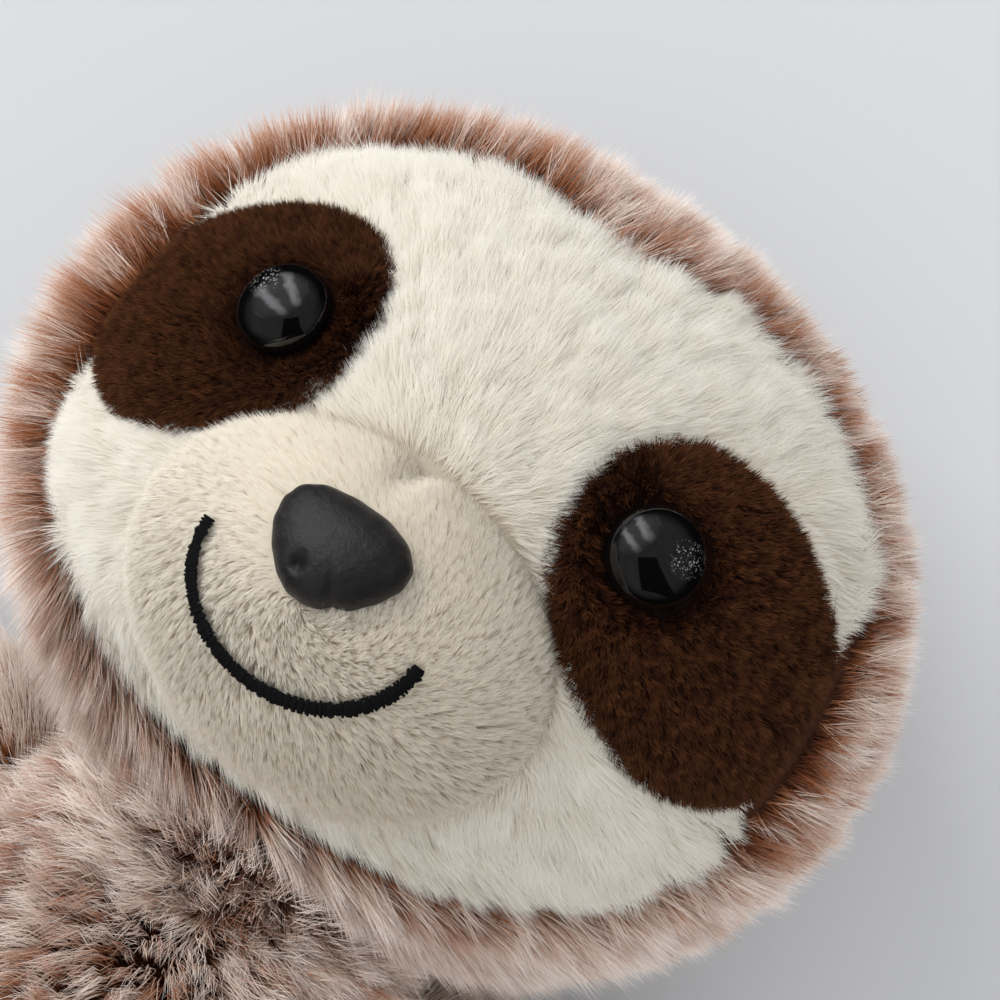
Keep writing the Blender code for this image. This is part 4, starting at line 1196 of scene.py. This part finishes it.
ARM_REACH = 0.064
ARM_LENGTH = 0.118
ARM_SHARES = (0.86, 0.85, 0.84, 0.86, 0.93, 1.0)
LEG_REACH = 0.034
LEG_LENGTH = 0.080
LEG_SHARES = (0.86, 0.85, 0.85, 0.88, 0.95, 1.0)
NEAR_BEND = (0.55, -0.35)
FAR_BEND = (0.92, 0.42)
LIMB_ROWS = 90
LIMB_COLUMNS = 40
LIMB_PILE = 0.0098
ROOT_COVER = 0.8
ROOT_PILE_SHARE = 0.32
ROOT_EDGE = (-0.004, 0.002)
ROOT_REACH = -0.012
TABLE_CLEAR = 0.004
LIMB_SWIRL = 0.012
LIMB_MOTTLE = 0.006
CLAW_RADIUS = 0.0042
CLAW_LENGTH = 0.028
CLAW_SPREAD = 0.0095
CLAW_FAN = math.radians(14)
CLAW_DROOP = 0.30
CLAW_ROOT = 0.45
CLAW_SHARES = (1.0, 1.0, 0.96, 0.90, 0.82, 0.70, 0.52, 0.22)
CLAW_PILE = 0.0011
CLAW_CLOTH = 0.0007
CLAW_TIP = 0.4
CLAW_STEPS = 40
CLAW_VELBOA = {**VELBOA, "Density": 3.2e6, "Width": 0.00030}
LIMB_FUR = {**FUR, "Width": 0.00025, "Seed": 51}
UPPER_DENSITY = 0.25 * FUR["Density"]
UNDER_DENSITY = 0.13 * FUR["Density"]


def limb_bones(root, reach, length, radius):
    """The four Bezier points of a limb that leaves its root outwards and ends on the table."""
    out = np.sign(root[0])
    run = length - radius
    rest = radius - PRESS
    end = np.array((root[0] + out * reach, root[1] - run, rest))
    knee = np.array((root[0] + out * reach * FAR_BEND[0], root[1] - run * FAR_BEND[1], rest))
    pull = root + (knee - root) * NEAR_BEND[0] + (end - knee) * NEAR_BEND[1]
    return root, pull, knee, end


def bezier_line(points, count):
    """Places along a curve with four Bezier points."""
    return np.array([tuple(p) for p in interpolate_bezier(*(Vector(p) for p in points), count)])


def directions(line):
    """The direction of a line at each of its places."""
    return normed(np.gradient(line, axis=0))


def limb_rows(bones, radius, shares, depth, first, last, columns):
    """Rings of a limb: a ball round its root, then the tube that swells to the hand."""
    line = bezier_line(bones, 120)
    back = line[0] - normed(line[1] - line[0]) * radius
    front = line[-1] + normed(line[-1] - line[-2]) * radius
    line = np.concatenate([[back], line, [front]])
    runs = np.concatenate([[0], np.cumsum(np.linalg.norm(np.diff(line, axis=0), axis=1))])
    total = runs[-1]
    run = total * (1 - np.cos(np.linspace(0, math.pi, LIMB_ROWS))) / 2
    run = 0.5 * run + 0.5 * np.linspace(0, total, LIMB_ROWS)
    middle = np.stack([np.interp(run, runs, line[:, axis]) for axis in range(3)], -1)
    neck_run = radius * (1 + math.sqrt(1 - shares[0] ** 2))
    tube = radius * np.interp(run, np.linspace(neck_run, total - radius, len(shares)), shares)
    girth = np.where(run < neck_run, np.sqrt(np.clip(radius ** 2 - (run - radius) ** 2, 0, None)), tube)
    girth = girth * np.sqrt(np.clip(1 - (np.maximum(run - total + radius, 0) / radius) ** 2, 0, None))
    girth = np.maximum(girth - depth * np.minimum(girth / (3 * depth), 1), 0)
    along = directions(middle)
    up = normed(np.cross(bones[3] - bones[0], bones[3] - bones[2]))
    up = up * np.sign(up[2])
    across = np.cross(along, up)
    angle = np.linspace(first, last, columns)[None, :, None]
    ring = across[:, None] * np.cos(angle) + up * np.sin(angle)
    return middle[:, None] + girth[:, None, None] * ring, along, up


def make_claw(name, body, root, heading, droop):
    """One stuffed claw of velboa that droops towards its tip."""
    tip = root + heading * CLAW_LENGTH - (0, 0, droop)
    bend = root + heading * CLAW_LENGTH / 2
    line = bezier_line((root, bend, (bend + tip) / 2, tip), CLAW_STEPS)
    shares = np.interp(np.linspace(0, 1, CLAW_STEPS), np.linspace(0, 1, len(CLAW_SHARES)), CLAW_SHARES)
    girth = np.append(CLAW_RADIUS * shares - CLAW_CLOTH, 0)
    line = np.concatenate([line, [line[-1] + (line[-1] - line[-2]) * CLAW_TIP]])
    along = directions(line)
    across = normed(np.cross(along, (0, 0, 1.0)))
    up = np.cross(across, along)
    angle = np.linspace(0, math.tau, 24, endpoint=False)[None, :, None]
    ring = across[:, None] * np.cos(angle) + up[:, None] * np.sin(angle)
    rows = line[:, None] + girth[:, None, None] * ring
    mesh, places = cloth_mesh(name, rows, line[CLAW_STEPS // 2], wraps=True)
    move_places(mesh, places)
    comb_cloth(mesh, np.tile(heading + (0, 0, -0.2), (len(places), 1)), 0.6, CLAW_PILE, 1)
    grow(f"{name}_velboa", name, body, mesh, brown_backing, VELBOA_BACKING, CLAW_VELBOA)


def make_limb(kind, hand, root, reach, length, radius, shares):
    """A limb with its two covers, its filling and its claws."""
    body = f"{kind}_{hand}"
    bones = limb_bones(root, reach, length, radius)
    for cover_name, first, density in (("upper", 0, UPPER_DENSITY), ("under", math.pi, UNDER_DENSITY)):
        last = first + math.pi
        rows, along, up = limb_rows(bones, radius, shares, FUR_DEPTH, first, last, LIMB_COLUMNS)
        mesh, places = cloth_mesh(f"{body}_{cover_name}", rows, bones[3])
        move_places(mesh, places)
        along = along[np.linalg.norm(rows.mean(1)[None] - places[:, None], axis=-1).argmin(1)]
        comb = along + 0.35 * wander(places, LIMB_SWIRL, 17)[:, None] * np.cross(along, up)
        outward_x = np.sign(root[0]) * (places[:, 0] - root[0])
        free = eased(outward_x, *ROOT_EDGE)
        free = np.maximum(free, (egg_level(places, BODY, BODY_HALVES) > 1) & (outward_x > ROOT_REACH))
        cover = np.maximum(free, ROOT_COVER) * (1 - 0.6 * (places[:, 2] < TABLE_CLEAR))
        pile_length = LIMB_PILE * (ROOT_PILE_SHARE + (1 - ROOT_PILE_SHARE) * free)
        # Painted light: the pile round each root is tinted paler, which lifts the shade where the limb
        # meets the body under the head.
        root_shade_lift = 1 - eased(np.linalg.norm(places - root, axis=1), radius, 2 * radius)
        tint = 0.75 + 0.3 * wander(places, LIMB_MOTTLE, 23) + 0.5 * root_shade_lift
        comb_cloth(mesh, comb, FUR_LEAN - 0.05, pile_length, cover, tint)
        grow(f"{body}_{cover_name}_fur_pile", f"{body}_{cover_name}", body, mesh,
             fur_backing, CLOTH_THICKNESS, {**LIMB_FUR, "Density": density})
    rows, along, up = limb_rows(bones, radius, shares, COVER_ROOM, 0, math.tau, 48)
    stuff(f"{body}_filling", body, rows, bones[2], 12)
    heading = normed(bones[3] - bones[2])
    sideways = np.cross(heading, (0, 0, 1.0))
    for number, row in enumerate((-1, 0, 1), start=1):
        fan = np.array(Matrix.Rotation(-row * CLAW_FAN, 3, "Z"))
        base = bones[3] + heading * radius * shares[-1] * (1 - CLAW_ROOT) + sideways * row * CLAW_SPREAD
        make_claw(f"{body}_claw_{number}", body, base, fan @ heading, bones[3][2] * CLAW_DROOP)


for hand in SIDES:
    make_limb("arm", hand, pivots[f"shoulder_{hand}"], ARM_REACH, ARM_LENGTH, ARM_RADIUS, ARM_SHARES)
    make_limb("leg", hand, pivots[f"hip_{hand}"], LEG_REACH, LEG_LENGTH, LEG_RADIUS, LEG_SHARES)


# Table, light and camera
# A plain pale table, soft light from the upper left of the picture, and the camera over the face.
# Glossy things mirror a room of their own: a window with a blind, grey walls and one dark box.

CAMERA_OVER_HEAD = (0.0282, -0.0032, 0.1632)
CAMERA_TURN = (math.radians(3.98), math.radians(9.28), math.radians(34.01))
LENS = 38.88
TABLE_HALF = 3.0
LAMP_PLACE = (-3.90, 1.35, 2.60)
LAMP_SIZE = 3.1
LAMP_POWER = 178.0
WINDOW_WAY = (-0.62, 0.41, 0.66)
BLIND_WAY = (0.24, 0.97, 0.0)
BLIND_SCALE = 13.0
BLIND_LEVEL = 3.6
ROOM_LEVEL = 0.32
DARK_BOX = (
    ((0.83, 0.56, 0), 0.29, 0.42),
    ((-0.56, 0.83, 0), -0.46, 0.42),
    ((0.58, 0.82, 0), -1.16, 1.5),
)

corners = [(x * TABLE_HALF, y * TABLE_HALF, 0) for x, y in ((-1, -1), (1, -1), (1, 1), (-1, 1))]
table_mesh = bpy.data.meshes.new("table")
table_mesh.from_pydata(corners, [], [(0, 1, 2, 3)])
table = new_object("table", table_mesh, plain_material("table", (191, 192, 194), 0.8))
table.visible_glossy = False

light = bpy.data.lights.new("window", "AREA")
light.shape = "RECTANGLE"
light.size = light.size_y = LAMP_SIZE
light.energy = LAMP_POWER
window = new_object("window", light)
window.location = LAMP_PLACE
window.rotation_mode = "QUATERNION"
window.rotation_quaternion = (Vector(LAMP_PLACE) - Vector(HEAD)).to_track_quat("Z", "Y")
window.visible_glossy = False

world = bpy.data.worlds.new("studio")
bpy.context.scene.world = world
world.use_nodes = True
tree = world.node_tree
plain = tree.nodes["Background"]
plain.inputs["Color"].default_value = (0.98, 0.985, 1.0, 1)
plain.inputs["Strength"].default_value = 1.06
way = step(tree, "ShaderNodeTexCoord").outputs["Generated"]
ripple = noisy(way, 2.5, Detail=2.0)["Fac"]
across = times(vectors("DOT_PRODUCT", way, BLIND_WAY), BLIND_SCALE)
bands = ranged(maths("SINE", plus(across, times(ripple, 4.0))), -0.2, 1.0, 0.15, 1.0)
by_window = ranged(vectors("DOT_PRODUCT", way, WINDOW_WAY), 0.72, 0.93, 0.0, BLIND_LEVEL)
room = ranged(parts(way)[2], 0.0, 0.5, 0.0, ROOM_LEVEL)
room = plus(times(room, plus(ripple, 0.5)), times(bands, by_window))
outside_box = 0.0
for axis, middle, half in DARK_BOX:
    off = maths("ABSOLUTE", minus(vectors("DOT_PRODUCT", way, axis), middle))
    outside_box = maths("MAXIMUM", outside_box, maths("DIVIDE", off, half))
lit = maths("GREATER_THAN", outside_box, 1.0)
seen = step(tree, "ShaderNodeBackground", {"Color": (0.97, 0.98, 1.0, 1), "Strength": times(room, lit)})
is_glossy = step(tree, "ShaderNodeLightPath").outputs["Is Glossy Ray"]
mixed = step(tree, "ShaderNodeMixShader", {0: is_glossy, 1: plain.outputs[0], 2: seen.outputs[0]})
tree.links.new(mixed.outputs[0], tree.nodes["World Output"].inputs["Surface"])

camera_data = bpy.data.cameras.new("camera")
camera_data.lens = LENS
camera_data.clip_start = 0.001
camera = new_object("camera", camera_data)
turn = (Matrix.Rotation(CAMERA_TURN[0], 4, "X") @ Matrix.Rotation(CAMERA_TURN[1], 4, "Y")
        @ Matrix.Rotation(CAMERA_TURN[2], 4, "Z"))
camera.matrix_world = Matrix.Translation(Vector(HEAD) + Vector(CAMERA_OVER_HEAD)) @ turn
bpy.context.scene.camera = camera
bpy.context.scene.view_settings.view_transform = "Standard"
